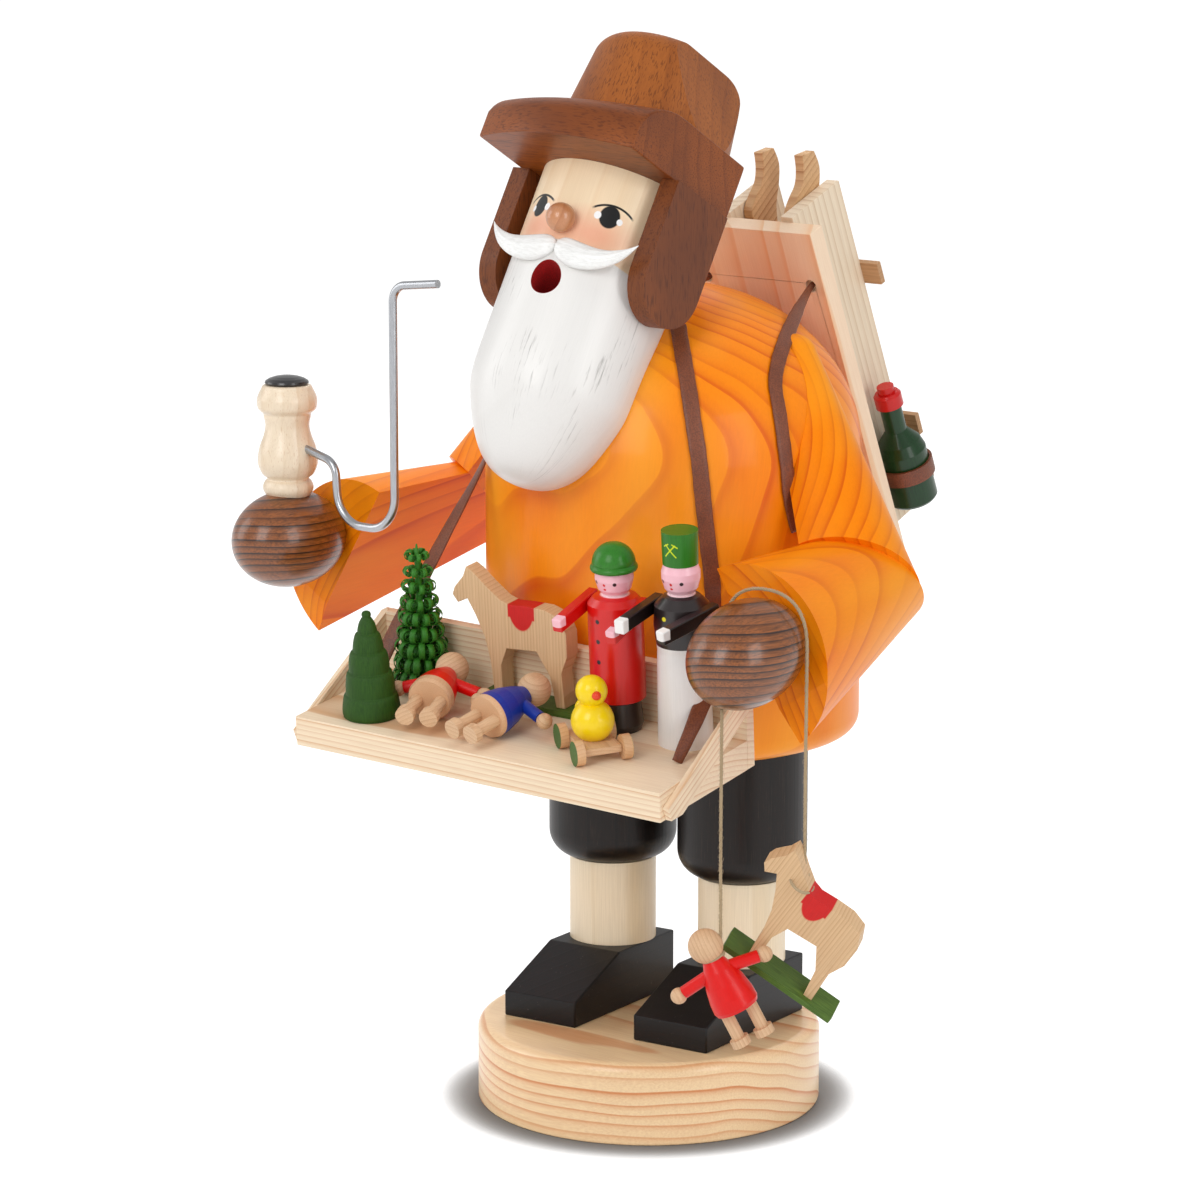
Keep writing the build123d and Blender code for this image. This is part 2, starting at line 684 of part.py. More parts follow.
FAR = FOREARM_LENGTH * 2
ELBOW_LINE = ((ELBOW_FRONT, 3.0 * RUN_GAP), (ELBOW_BACK, -ELBOW_DROP))
mitre_x = ELBOW_BACK - ELBOW_FRONT
mitre_y = -ELBOW_DROP
forearm_radius = (CUFF_RADIUS ** 2 + ARM_FLAT_SET ** 2) ** 0.5
forearm_end_radius = forearm_radius - FOREARM_LENGTH * tan(radians(FOREARM_TAPER))
forearm_rise = tan(radians(FOREARM_RISE))
forearm_cone = arm_cone(
    (-OVERRUN, CUFF_MIDDLE.Y - OVERRUN * forearm_rise, -ARM_FLAT_SET),
    (FOREARM_LENGTH, CUFF_MIDDLE.Y + FOREARM_LENGTH * forearm_rise, -ARM_FLAT_SET),
    forearm_radius + OVERRUN * tan(radians(FOREARM_TAPER)),
    forearm_end_radius,
)
forearm_outline = (
    (0, CUFF_RADIUS),
    (ELBOW_FRONT - CUFF_RADIUS, CUFF_RADIUS * -mitre_y / mitre_x),
    (ELBOW_BACK + CUFF_RADIUS, -ELBOW_DROP + CUFF_RADIUS * mitre_y / mitre_x),
    (ELBOW_BACK + CUFF_RADIUS, -FAR),
    (0, -FAR),
)
with BuildPart() as forearm_blank:
    add(forearm_cone)
    add(arm_block(forearm_outline), mode=Mode.INTERSECT)
with BuildPart() as left_forearm:
    add(forearm_blank.part)
    add(coat_envelope, mode=Mode.SUBTRACT)
left_forearm.part.label = "left_forearm"

UPPER_TOP = (ELBOW_BACK - SHOULDER_RADIUS, UPPER_ARM_LENGTH - SHOULDER_RADIUS, SHOULDER_SET)
UPPER_DROP = UPPER_ARM_LENGTH + ELBOW_DROP
upper_lean = tan(radians(UPPER_ARM_LEAN))
upper_cone = arm_cone(
    UPPER_TOP,
    (UPPER_TOP[0] - UPPER_DROP * upper_lean, UPPER_TOP[1] - UPPER_DROP, -ARM_FLAT_SET * 2),
    SHOULDER_RADIUS,
    SHOULDER_RADIUS + UPPER_DROP * upper_lean,
)
upper_outline = (
    (ELBOW_FRONT - CUFF_RADIUS, CUFF_RADIUS * -mitre_y / mitre_x),
    (ELBOW_BACK + CUFF_RADIUS, -ELBOW_DROP + CUFF_RADIUS * mitre_y / mitre_x),
    (ELBOW_BACK + CUFF_RADIUS, FAR),
    (ELBOW_FRONT - CUFF_RADIUS, FAR),
)
with BuildPart() as upper_arm_blank:
    add(upper_cone)
    add(ball(in_frame(ARM_PLANE, *UPPER_TOP), SHOULDER_RADIUS * 2))
    add(arm_block(upper_outline), mode=Mode.INTERSECT)
with BuildPart() as left_upper_arm:
    add(upper_arm_blank.part)
    add(coat_envelope, mode=Mode.SUBTRACT)
left_upper_arm.part.label = "left_upper_arm"

RAISE = Pos(0, 0, RIGHT_ARM_RAISE)
right_forearm_blank = RAISE * mirror(forearm_blank.part, about=Plane.YZ)
right_upper_arm_blank = RAISE * mirror(upper_arm_blank.part, about=Plane.YZ)
with BuildPart() as right_forearm:
    add(right_forearm_blank)
    add(coat_envelope, mode=Mode.SUBTRACT)
right_forearm.part.label = "right_forearm"

with BuildPart() as right_upper_arm:
    add(right_upper_arm_blank)
    add(coat_envelope, mode=Mode.SUBTRACT)
right_upper_arm.part.label = "right_upper_arm"


# Hands
def hand_egg(place, drop):
    """A turned egg whose long axis points back into the cuff."""
    axis = Vector(0, cos(radians(drop)), sin(radians(drop)))
    frame = Plane(origin=place, x_dir=axis, z_dir=(1, 0, 0))
    with BuildPart() as egg:
        with BuildSketch(frame):
            with BuildLine():
                EllipticalCenterArc((0, 0), HAND_LENGTH / 2, HAND_DIAMETER / 2, start_angle=0, arc_size=180)
                Line((-HAND_LENGTH / 2, 0), (HAND_LENGTH / 2, 0))
            make_face()
        revolve(axis=Axis(place, axis))
    return egg.part


with BuildPart() as left_hand:
    add(hand_egg(HAND_PLACE_LEFT, HAND_DROP_LEFT))
    add(left_forearm.part, mode=Mode.SUBTRACT)
left_hand.part.label = "left_hand"

with BuildPart() as right_hand:
    add(hand_egg(HAND_PLACE_RIGHT, 0))
    add(right_forearm.part, mode=Mode.SUBTRACT)
right_hand.part.label = "right_hand"

# Pipe bowl, turned: radius shares of the bulge, height shares of the bowl
PIPE_SHARES = (
    (0.66, 0.0), (0.80, 0.06), (0.84, 0.11), (0.78, 0.15), (0.70, 0.18), (0.86, 0.22),
    (0.98, 0.29), (1.0, 0.35), (0.94, 0.45), (0.80, 0.55), (0.73, 0.64), (0.78, 0.72),
    (0.80, 0.755), (0.97, 0.80), (1.0, 0.87), (0.90, 0.95), (0.76, 1.0),
)
PIPE_PLANE = Plane(origin=(HAND_PLACE_RIGHT[0], HAND_PLACE_RIGHT[1], PIPE_FOOT), z_dir=(0, 0, 1))
pipe_points = [(PIPE_BULGE_DIAMETER / 2 * r, PIPE_HEIGHT * h) for r, h in PIPE_SHARES]
pipe_points = [(0, -OVERRUN), (pipe_points[0][0], -OVERRUN)] + pipe_points + [(0, PIPE_HEIGHT)]

# The wire stem leaves the bowl, dips, turns up and ends level with the mouth
STEM_START = 13.5
STEM_OUT = 30.5
STEM_TURN = 67.5
STEM_END = 95.0
STEM_HOLE_LEVEL = 25.0
STEM_DIP_LEVEL = 19.5
STEM_LOW = -8.0
STEM_TOP = 103.5
STEM_TIP = 106.5
STEM_RADII = (8.5, 15.0, 15.5, 8.0)
stem_points = [
    (STEM_START - STEM_HOLE_DEPTH, STEM_HOLE_LEVEL),
    (STEM_OUT, STEM_DIP_LEVEL),
    (STEM_OUT + STEM_DIAMETER / 2, STEM_LOW),
    (STEM_TURN, STEM_LOW),
    (STEM_TURN, STEM_TOP),
    (STEM_END, STEM_TIP),
]
STEM_PLANE = Plane(origin=PIPE_PLANE.origin, x_dir=(1, 0, 0), z_dir=(0, -1, 0))
with BuildPart() as pipe_stem:
    with BuildLine(STEM_PLANE) as stem_line:
        FilletPolyline(*stem_points, radius=STEM_RADII)
    with BuildSketch(Plane(origin=stem_line.line @ 0, z_dir=stem_line.line % 0)):
        Circle(STEM_DIAMETER / 2)
    sweep()
pipe_stem.part.label = "pipe_stem"

with BuildPart() as pipe_bowl:
    add(turned(PIPE_PLANE, pipe_points))
    add(right_hand.part, mode=Mode.SUBTRACT)
    add(pipe_stem.part, mode=Mode.SUBTRACT)
pipe_bowl.part.label = "pipe_bowl"

LID_PLANE = PIPE_PLANE.offset(PIPE_HEIGHT)
LID_SHARES = ((0.93, 0.0), (1.0, 0.2), (0.97, 0.4), (0.8, 0.66), (0.55, 0.86), (0.28, 0.97))
lid_points = [(LID_DIAMETER / 2 * r, LID_HEIGHT * h) for r, h in LID_SHARES]
with BuildPart() as pipe_lid:
    add(turned(LID_PLANE, [(0, 0)] + lid_points + [(0, LID_HEIGHT)]))
pipe_lid.part.label = "pipe_lid"

# Tray
TRAY_TOP = TRAY_PLANE.offset(TRAY_THICKNESS)
with BuildPart() as tray_board:
    with BuildSketch(TRAY_PLANE):
        Rectangle(TRAY_LENGTH, TRAY_DEPTH, align=(Align.CENTER, Align.MIN))
    extrude(amount=TRAY_THICKNESS)
tray_board.part.label = "tray_board"

with BuildPart() as tray_back:
    with BuildSketch(TRAY_PLANE):
        with Locations((0, TRAY_DEPTH)):
            Rectangle(TRAY_LENGTH, TRAY_BACK_THICKNESS, align=(Align.CENTER, Align.MIN))
    extrude(amount=TRAY_BACK_HEIGHT)
    add(coat_envelope, mode=Mode.SUBTRACT)
tray_back.part.label = "tray_back"

with BuildPart() as tray_braces:
    for side in (-1, 1):
        brace_plane = Plane(
            origin=in_frame(TRAY_PLANE, side * TRAY_LENGTH / 2, BRACE_FOOT, 0),
            x_dir=TRAY_PLANE.y_dir * side,
            z_dir=TRAY_PLANE.x_dir * side,
        )
        brace_top = TRAY_DEPTH + TRAY_BACK_THICKNESS - BRACE_FOOT
        with BuildSketch(brace_plane):
            with BuildLine():
                Polyline(
                    (0, 0),
                    (side * BRACE_WIDTH, 0),
                    (side * brace_top, TRAY_BACK_HEIGHT - BRACE_WIDTH),
                    (side * brace_top, TRAY_BACK_HEIGHT),
                    (side * (brace_top - BRACE_WIDTH / 2), TRAY_BACK_HEIGHT),
                    (-side * BRACE_WIDTH / 4, BRACE_WIDTH * 0.7),
                    close=True,
                )
            make_face()
        extrude(amount=BRACE_THICKNESS)
    add(left_hand.part, mode=Mode.SUBTRACT)
tray_braces.part.label = "tray_braces"


# Trees
def tiered_tree(place, height, diameter, tiers):
    """A turned tree of stacked cones, each tier a little narrower than the one below."""
    frame = Plane(
        origin=in_frame(TRAY_TOP, place[0], place[1], 0), x_dir=TRAY_TOP.x_dir, z_dir=TRAY_TOP.z_dir
    )
    points = [(0, 0)]
    for tier in range(tiers):
        low = height * tier / tiers
        high = height * (tier + 1) / tiers
        wide = diameter / 2 * (1 - 0.62 * tier / tiers)
        narrow = wide * 0.68
        points.append((wide * 0.94, low))
        points.append((wide, low + (high - low) / 4))
        points.append((narrow, high))
    points.append((0, height + diameter / 10))
    return turned(frame, points)


with BuildPart() as turned_tree:
    add(tiered_tree(TREE_PLACE, TREE_HEIGHT, TREE_DIAMETER, TREE_TIERS))
turned_tree.part.label = "turned_tree"

with BuildPart() as curled_tree:
    add(tiered_tree(CURLED_PLACE, CURLED_HEIGHT, CURLED_DIAMETER, CURLED_TIERS))
curled_tree.part.label = "curled_tree"

# Horse outline, as shares of its length and height, nose to the left, hooves at zero
HORSE_SHARES = (
    (0.045, 0.70), (0.0, 0.76), (0.02, 0.82), (0.10, 0.92), (0.13, 1.0), (0.19, 0.965),
    (0.30, 0.87), (0.42, 0.78), (0.50, 0.755), (0.64, 0.765), (0.80, 0.765), (0.93, 0.72),
    (0.985, 0.60), (0.985, 0.42), (0.93, 0.28), (0.95, 0.0), (0.875, 0.0), (0.83, 0.24),
    (0.72, 0.42), (0.46, 0.40), (0.405, 0.26), (0.41, 0.0), (0.34, 0.0), (0.315, 0.26),
    (0.27, 0.46), (0.20, 0.62), (0.13, 0.745),
)


def horse_board(frame, length, height, thickness):
    """A horse sawn from a board: the frame's X runs nose to tail, its Y up."""
    with BuildPart() as board:
        with BuildSketch(frame.offset(-thickness / 2)):
            with BuildLine():
                Polyline(*[(length * x, height * y) for x, y in HORSE_SHARES], close=True)
            make_face()
        extrude(amount=thickness)
    return board.part


HORSE_LEVEL = TRAY_THICKNESS + STAND_THICKNESS
STAND_PLANE = Plane(
    origin=in_frame(TRAY_PLANE, HORSE_PLACE[0], HORSE_PLACE[1], TRAY_THICKNESS),
    x_dir=TRAY_PLANE.x_dir,
    z_dir=TRAY_PLANE.z_dir,
)
with BuildPart() as toy_horse_stand:
    with BuildSketch(STAND_PLANE):
        Rectangle(STAND_LENGTH, STAND_WIDTH)
    extrude(amount=STAND_THICKNESS)
toy_horse_stand.part.label = "toy_horse_stand"

TOY_HORSE_PLANE = Plane(
    origin=in_frame(STAND_PLANE, -TOY_HORSE_LENGTH * 0.65, 0, STAND_THICKNESS),
    x_dir=STAND_PLANE.x_dir,
    z_dir=-STAND_PLANE.y_dir,
)
with BuildPart() as toy_horse:
    add(horse_board(TOY_HORSE_PLANE, TOY_HORSE_LENGTH, HORSE_HEIGHT, HORSE_THICKNESS))
toy_horse.part.label = "toy_horse"


# Dolls: turned bodies with ball heads, peg legs on round feet, and peg arms
def doll_frame(place, turn):
    """The frame of a doll that lies on its back: X to its left, Y to its head, Z up."""
    lying = Plane(
        origin=in_frame(TRAY_TOP, place[0], place[1], DOLL_BODY_DIAMETER / 2 + DOLL_FOOT_LENGTH / 2),
        x_dir=TRAY_TOP.x_dir,
        z_dir=TRAY_TOP.z_dir,
    )
    return turned_plane(turned_plane(lying, 0, 0, turn), DOLL_PITCH, 0, 0)


def doll_body(frame):
    """A turned body, wide at its hem and narrow at the neck, its length along the frame's Y."""
    along = Plane(
        origin=in_frame(frame, 0, -DOLL_BODY_LENGTH / 2, 0), x_dir=frame.x_dir, z_dir=frame.y_dir
    )
    hem = DOLL_BODY_DIAMETER / 2
    neck = DOLL_NECK_DIAMETER / 2
    length = DOLL_BODY_LENGTH
    points = (
        (0, 0), (hem * 0.93, 0), (hem, length * 0.07), (hem * 0.98, length * 0.25),
        (hem * 0.86, length * 0.52), (hem * 0.66, length * 0.78), (neck, length), (0, length),
    )
    return turned(along, points)


def peg(start, end, diameter):
    """A round peg between two places."""
    run = end - start
    with BuildPart() as rod:
        with BuildSketch(Plane(origin=start, z_dir=run)):
            Circle(diameter / 2)
        extrude(amount=run.length)
    return rod.part


def doll_shoulder(frame, side):
    """Where an arm leaves the body."""
    return in_frame(frame, side * DOLL_NECK_DIAMETER / 3, DOLL_BODY_LENGTH * 0.26, 0)


def doll_hand(frame, side):
    """Where a hand's ball sits."""
    return in_frame(frame, side * DOLL_ARM_REACH, DOLL_BODY_LENGTH * 0.12, -DOLL_HAND_DIAMETER / 2)


def doll_wood(frame, dress):
    """The plain wooden pieces of a doll: head, two hands and two legs with feet."""
    hem_level = -DOLL_BODY_LENGTH / 2
    foot_level = DOLL_LEG_LENGTH - DOLL_FOOT_LENGTH
    leg_points = (
        (0, 0), (DOLL_LIMB_DIAMETER / 2, 0), (DOLL_LIMB_DIAMETER / 2, foot_level),
        (DOLL_FOOT_DIAMETER / 2, foot_level), (DOLL_FOOT_DIAMETER / 2, DOLL_LEG_LENGTH),
        (0, DOLL_LEG_LENGTH),
    )
    head_at = in_frame(frame, 0, DOLL_BODY_LENGTH / 2 + DOLL_HEAD_DIAMETER * 0.42, 0)
    with BuildPart() as pieces:
        add(ball(head_at, DOLL_HEAD_DIAMETER, frame.y_dir))
        for side in (-1, 1):
            hand = doll_hand(frame, side)
            add(ball(hand, DOLL_HAND_DIAMETER, hand - doll_shoulder(frame, side)))
            hip = in_frame(frame, side * DOLL_LIMB_DIAMETER, hem_level, 0)
            add(turned(Plane(origin=hip, x_dir=frame.x_dir, z_dir=-frame.y_dir), leg_points))
        add(dress, mode=Mode.SUBTRACT)
    return pieces.part


def doll_dress(frame):
    """The painted body with two peg arms that end in the hands."""
    with BuildPart() as dress:
        add(doll_body(frame))
        for side in (-1, 1):
            shoulder = doll_shoulder(frame, side)
            hand = doll_hand(frame, side)
            add(peg(shoulder, shoulder + (hand - shoulder) * 0.84, DOLL_LIMB_DIAMETER))
    return dress.part


RED_FRAME = doll_frame(RED_DOLL_PLACE, RED_DOLL_TURN)
BLUE_FRAME = doll_frame(BLUE_DOLL_PLACE, BLUE_DOLL_TURN)
with BuildPart() as red_doll_body:
    add(doll_dress(RED_FRAME))
red_doll_body.part.label = "red_doll_body"

with BuildPart() as blue_doll_body:
    add(doll_dress(BLUE_FRAME))
blue_doll_body.part.label = "blue_doll_body"

with BuildPart() as lying_doll_wood:
    add(doll_wood(RED_FRAME, red_doll_body.part))
    add(doll_wood(BLUE_FRAME, blue_doll_body.part))
lying_doll_wood.part.label = "lying_doll_wood"


# Standing figures, each turned in one piece with its head
def figure_frame(place):
    """A frame on the tray's top at a figure's foot."""
    return Plane(
        origin=in_frame(TRAY_TOP, place[0], place[1], 0), x_dir=TRAY_TOP.x_dir, z_dir=TRAY_TOP.z_dir
    )


HEAD_SHARES = ((0.62, 0.0), (0.86, 0.16), (1.0, 0.42), (1.0, 0.60), (0.86, 0.82), (0.6, 0.98))


def head_profile(low):
    """The turned head above a neck at the given level."""
    radius = FIGURE_HEAD_DIAMETER / 2
    return [(radius * r, low + FIGURE_HEAD_DIAMETER * h) for r, h in HEAD_SHARES]


SOLDIER_FRAME = figure_frame(SOLDIER_PLACE)
soldier_neck = SOLDIER_HEIGHT - FIGURE_HEAD_DIAMETER
soldier_radius = SOLDIER_DIAMETER / 2
soldier_points = [
    (0, 0), (soldier_radius * 0.80, 0), (soldier_radius * 0.88, soldier_neck * 0.05),
    (soldier_radius * 0.80, soldier_neck * 0.22), (soldier_radius, soldier_neck * 0.24),
    (soldier_radius, soldier_neck * 0.94), (soldier_radius * 0.8, soldier_neck * 0.985),
    (FIGURE_HEAD_DIAMETER * 0.34, soldier_neck),
]
soldier_points += head_profile(soldier_neck) + [(0, SOLDIER_HEIGHT - FIGURE_HEAD_DIAMETER * 0.02)]
with BuildPart() as soldier_figure:
    add(turned(SOLDIER_FRAME, soldier_points))
soldier_figure.part.label = "soldier_figure"

MINER_FRAME = figure_frame(MINER_PLACE)
miner_neck = MINER_HEIGHT - FIGURE_HEAD_DIAMETER
miner_radius = MINER_DIAMETER / 2
miner_points = [
    (0, 0), (miner_radius * 0.98, 0), (miner_radius * 0.92, miner_neck * 0.55),
    (miner_radius * 0.90, miner_neck * 0.63), (miner_radius, miner_neck * 0.80),
    (miner_radius * 0.96, miner_neck * 0.93), (miner_radius * 0.66, miner_neck * 0.985),
    (FIGURE_HEAD_DIAMETER * 0.34, miner_neck),
]
miner_points += head_profile(miner_neck) + [(0, MINER_HEIGHT - FIGURE_HEAD_DIAMETER * 0.02)]
with BuildPart() as miner_figure:
    add(turned(MINER_FRAME, miner_points))
miner_figure.part.label = "miner_figure"

SOLDIER_HAT_RADIUS = SOLDIER_HAT_DIAMETER / 2
soldier_hat_plane = SOLDIER_FRAME.offset(SOLDIER_HEIGHT - FIGURE_HEAD_DIAMETER * 0.34)
with BuildPart() as soldier_hat:
    hat_points = (
        (0, 0), (SOLDIER_HAT_RADIUS * 0.94, 0), (SOLDIER_HAT_RADIUS, SOLDIER_HAT_RADIUS * 0.18),
        (SOLDIER_HAT_RADIUS * 0.93, SOLDIER_HAT_RADIUS * 0.55),
        (SOLDIER_HAT_RADIUS * 0.70, SOLDIER_HAT_RADIUS * 0.95),
        (SOLDIER_HAT_RADIUS * 0.35, SOLDIER_HAT_RADIUS * 1.18), (0, SOLDIER_HAT_RADIUS * 1.25),
    )
    add(turned(soldier_hat_plane, hat_points))
    add(soldier_figure.part, mode=Mode.SUBTRACT)
soldier_hat.part.label = "soldier_hat"

miner_hat_plane = MINER_FRAME.offset(MINER_HEIGHT - FIGURE_HEAD_DIAMETER * 0.20)
with BuildPart() as miner_hat:
    with BuildSketch(miner_hat_plane):
        Circle(MINER_HAT_DIAMETER / 2)
    with BuildSketch(miner_hat_plane.offset(MINER_HAT_HEIGHT)):
        Circle(MINER_HAT_DIAMETER / 2 * 1.03)
    loft()
    add(miner_figure.part, mode=Mode.SUBTRACT)
miner_hat.part.label = "miner_hat"


def figure_arms(frame, radius, level, drop, figure):
    """Two square arms that reach forward from the shoulders, their ends the hands."""
    with BuildPart() as arms:
        for side in (-1, 1):
            start = in_frame(frame, side * (radius + FIGURE_ARM_SIZE * 0.35), FIGURE_ARM_SIZE / 4, level)
            reach = -frame.y_dir * cos(radians(drop)) - frame.z_dir * sin(radians(drop))
            with BuildSketch(Plane(origin=start, x_dir=frame.x_dir, z_dir=reach)):
                Rectangle(FIGURE_ARM_SIZE * 0.75, FIGURE_ARM_SIZE)
            extrude(amount=FIGURE_ARM_LENGTH)
        add(figure, mode=Mode.SUBTRACT)
    return arms.part


SOLDIER_ARM_DROP = 24.0
MINER_ARM_DROP = 22.0
with BuildPart() as soldier_arms:
    add(figure_arms(
        SOLDIER_FRAME, soldier_radius, soldier_neck * 0.92, SOLDIER_ARM_DROP, soldier_figure.part
    ))
soldier_arms.part.label = "soldier_arms"

with BuildPart() as miner_arms:
    add(figure_arms(MINER_FRAME, miner_radius, miner_neck * 0.92, MINER_ARM_DROP, miner_figure.part))
miner_arms.part.label = "miner_arms"

# Duck on a cart with two axles
AXLE_LEVEL = WHEEL_DIAMETER / 2 + RUN_GAP
cart_square = Plane(
    origin=in_frame(TRAY_TOP, CART_PLACE[0], CART_PLACE[1], AXLE_LEVEL),
    x_dir=TRAY_TOP.x_dir,
    z_dir=TRAY_TOP.z_dir,
)
CART_PLANE = turned_plane(cart_square, 0, 0, CART_TURN)


def cart_axle_plane(side):
    """The plane across one axle, at its end away from the viewer."""
    return Plane(
        origin=in_frame(CART_PLANE, side * AXLE_SPACING / 2, 0, 0), z_dir=CART_PLANE.y_dir
    )


with BuildPart() as duck_cart:
    with BuildSketch(CART_PLANE.offset(-CART_THICKNESS / 2)):
        Rectangle(CART_LENGTH, CART_WIDTH)
    extrude(amount=CART_THICKNESS)
    for side in (-1, 1):
        with BuildSketch(cart_axle_plane(side)):
            Circle(AXLE_DIAMETER / 2 + RUN_GAP)
        extrude(amount=CART_WIDTH, both=True, mode=Mode.SUBTRACT)
duck_cart.part.label = "duck_cart"


def axle_with_wheels(side):
    """One axle with a wheel fixed at each end."""
    plane = cart_axle_plane(side)
    inner = CART_WIDTH / 2 + FIT_GAP
    with BuildPart() as axle:
        with BuildSketch(plane):
            Circle(AXLE_DIAMETER / 2)
        extrude(amount=inner + WHEEL_THICKNESS, both=True)
        for end in (-1, 1):
            with BuildSketch(plane.offset(end * inner)):
                Circle(WHEEL_DIAMETER / 2)
            extrude(amount=end * WHEEL_THICKNESS)
    return axle.part


with BuildPart() as duck_left_axle:
    add(axle_with_wheels(-1))
duck_left_axle.part.label = "duck_left_axle"

with BuildPart() as duck_right_axle:
    add(axle_with_wheels(1))
duck_right_axle.part.label = "duck_right_axle"

DUCK_BODY_LEVEL = CART_THICKNESS / 2 + DUCK_BODY_DIAMETER * 0.42
DUCK_HEAD_LEVEL = DUCK_BODY_LEVEL + DUCK_BODY_DIAMETER * 0.72
with BuildPart() as duck:
    add(ball(in_frame(CART_PLANE, 0, 0, DUCK_BODY_LEVEL), DUCK_BODY_DIAMETER))
    add(ball(
        in_frame(CART_PLANE, -DUCK_BODY_DIAMETER * 0.42, 0, DUCK_BODY_LEVEL + DUCK_BODY_DIAMETER * 0.15),
        DUCK_BODY_DIAMETER * 0.55,
    ))
    add(ball(in_frame(CART_PLANE, 0, 0, DUCK_HEAD_LEVEL), DUCK_HEAD_DIAMETER))
    beak_at = in_frame(
        CART_PLANE, DUCK_HEAD_DIAMETER / 2, 0, DUCK_HEAD_LEVEL
    )
    add(ball(beak_at, BEAK_DIAMETER))
    with BuildSketch(CART_PLANE.offset(CART_THICKNESS / 2)):
        Rectangle(DUCK_BODY_DIAMETER * 2, DUCK_BODY_DIAMETER * 2)
    extrude(amount=-DUCK_BODY_DIAMETER, mode=Mode.SUBTRACT)
duck.part.label = "duck"


# Back pack: sizes run in the pack's own directions, X across, Y back and Z up the lean
def pack_slab(x_low, x_high, y_low, y_high, z_low, z_high):
    """A board of the pack between two places on each of its own directions."""
    with BuildPart() as slab:
        with BuildSketch(PACK_PLANE.offset(z_low)):
            with Locations((x_low, y_low)):
                Rectangle(x_high - x_low, y_high - y_low, align=(Align.MIN, Align.MIN))
        extrude(amount=z_high - z_low)
    return slab.part


BOARD_HALF = PACK_BOARD_WIDTH / 2
BOARD_BACK = PACK_BOARD_THICKNESS
SIDE_BACK = BOARD_BACK + PACK_SIDE_REACH
STRAP_HOLE_DIAMETER = 6.0
STRAP_HOLE_PLACE = (31.0, 49.0)
with BuildPart() as pack_board:
    add(pack_slab(-BOARD_HALF, BOARD_HALF, 0, BOARD_BACK, -PACK_BOARD_BOTTOM, PACK_BOARD_TOP))
    for side in (-1, 1):
        hole_at = in_frame(PACK_PLANE, side * STRAP_HOLE_PLACE[0], -OVERRUN, STRAP_HOLE_PLACE[1])
        with BuildSketch(Plane(origin=hole_at, z_dir=PACK_PLANE.y_dir)):
            Circle(STRAP_HOLE_DIAMETER / 2)
        extrude(amount=BOARD_BACK + OVERRUN * 2, mode=Mode.SUBTRACT)
    add(coat_envelope, mode=Mode.SUBTRACT)
pack_board.part.label = "pack_board"

SIDE_OUT = PACK_SIDE_PLACE
SIDE_IN = PACK_SIDE_PLACE - PACK_SIDE_THICKNESS
with BuildPart() as pack_sides:
    for side in (-1, 1):
        low = min(side * SIDE_OUT, side * SIDE_IN)
        high = max(side * SIDE_OUT, side * SIDE_IN)
        add(pack_slab(low, high, BOARD_BACK, SIDE_BACK, -PACK_SIDE_BOTTOM, PACK_SIDE_TOP))
pack_sides.part.label = "pack_sides"

with BuildPart() as pack_laths:
    for share in LATH_LEVEL_SHARES:
        level = share * (PACK_SIDE_TOP + PACK_SIDE_BOTTOM)
        add(pack_slab(
            -LATH_LENGTH / 2, LATH_LENGTH / 2, SIDE_BACK, SIDE_BACK + LATH_THICKNESS,
            level, level + LATH_WIDTH,
        ))
pack_laths.part.label = "pack_laths"

with BuildPart() as pack_floor:
    add(pack_slab(
        -SIDE_IN, SIDE_IN, BOARD_BACK, SIDE_BACK,
        -PACK_SIDE_BOTTOM, -PACK_SIDE_BOTTOM + PACK_FLOOR_THICKNESS,
    ))
pack_floor.part.label = "pack_floor"

# Sled: two runners that curl forward at the top, joined by slats
FLOOR_TOP = -PACK_SIDE_BOTTOM + PACK_FLOOR_THICKNESS
RUNNER_SHARES = (
    (0.55, 0.0), (1.0, 0.0), (1.0, 0.80), (0.80, 0.90), (0.42, 0.985), (0.20, 1.0), (0.06, 0.96),
    (0.20, 0.93), (0.40, 0.88), (0.55, 0.80),
)
SLED_FRONT = BOARD_BACK + SLED_SET
with BuildPart() as sled:
    for side in (-1, 1):
        runner_plane = Plane(
            origin=in_frame(
                PACK_PLANE, side * (SLED_WIDTH / 2) - RUNNER_THICKNESS / 2, SLED_FRONT, FLOOR_TOP + RUN_GAP
            ),
            x_dir=PACK_PLANE.y_dir,
            z_dir=PACK_PLANE.x_dir,
        )
        with BuildSketch(runner_plane):
            with BuildLine():
                Polyline(
                    *[(RUNNER_DEPTH * (x - 0.2), SLED_LENGTH * y) for x, y in RUNNER_SHARES],
                    close=True,
                )
            make_face()
        extrude(amount=RUNNER_THICKNESS)
    for slat in range(SLED_SLATS):
        slat_low = FLOOR_TOP + SLED_LENGTH * (0.12 + 0.2 * slat)
        slat_in = SLED_FRONT + RUNNER_DEPTH * 0.8
        add(pack_slab(
            -SLED_WIDTH / 2, SLED_WIDTH / 2, slat_in - SLED_SLAT_THICKNESS, slat_in,
            slat_low, slat_low + SLED_SLAT_WIDTH,
        ))
sled.part.label = "sled"

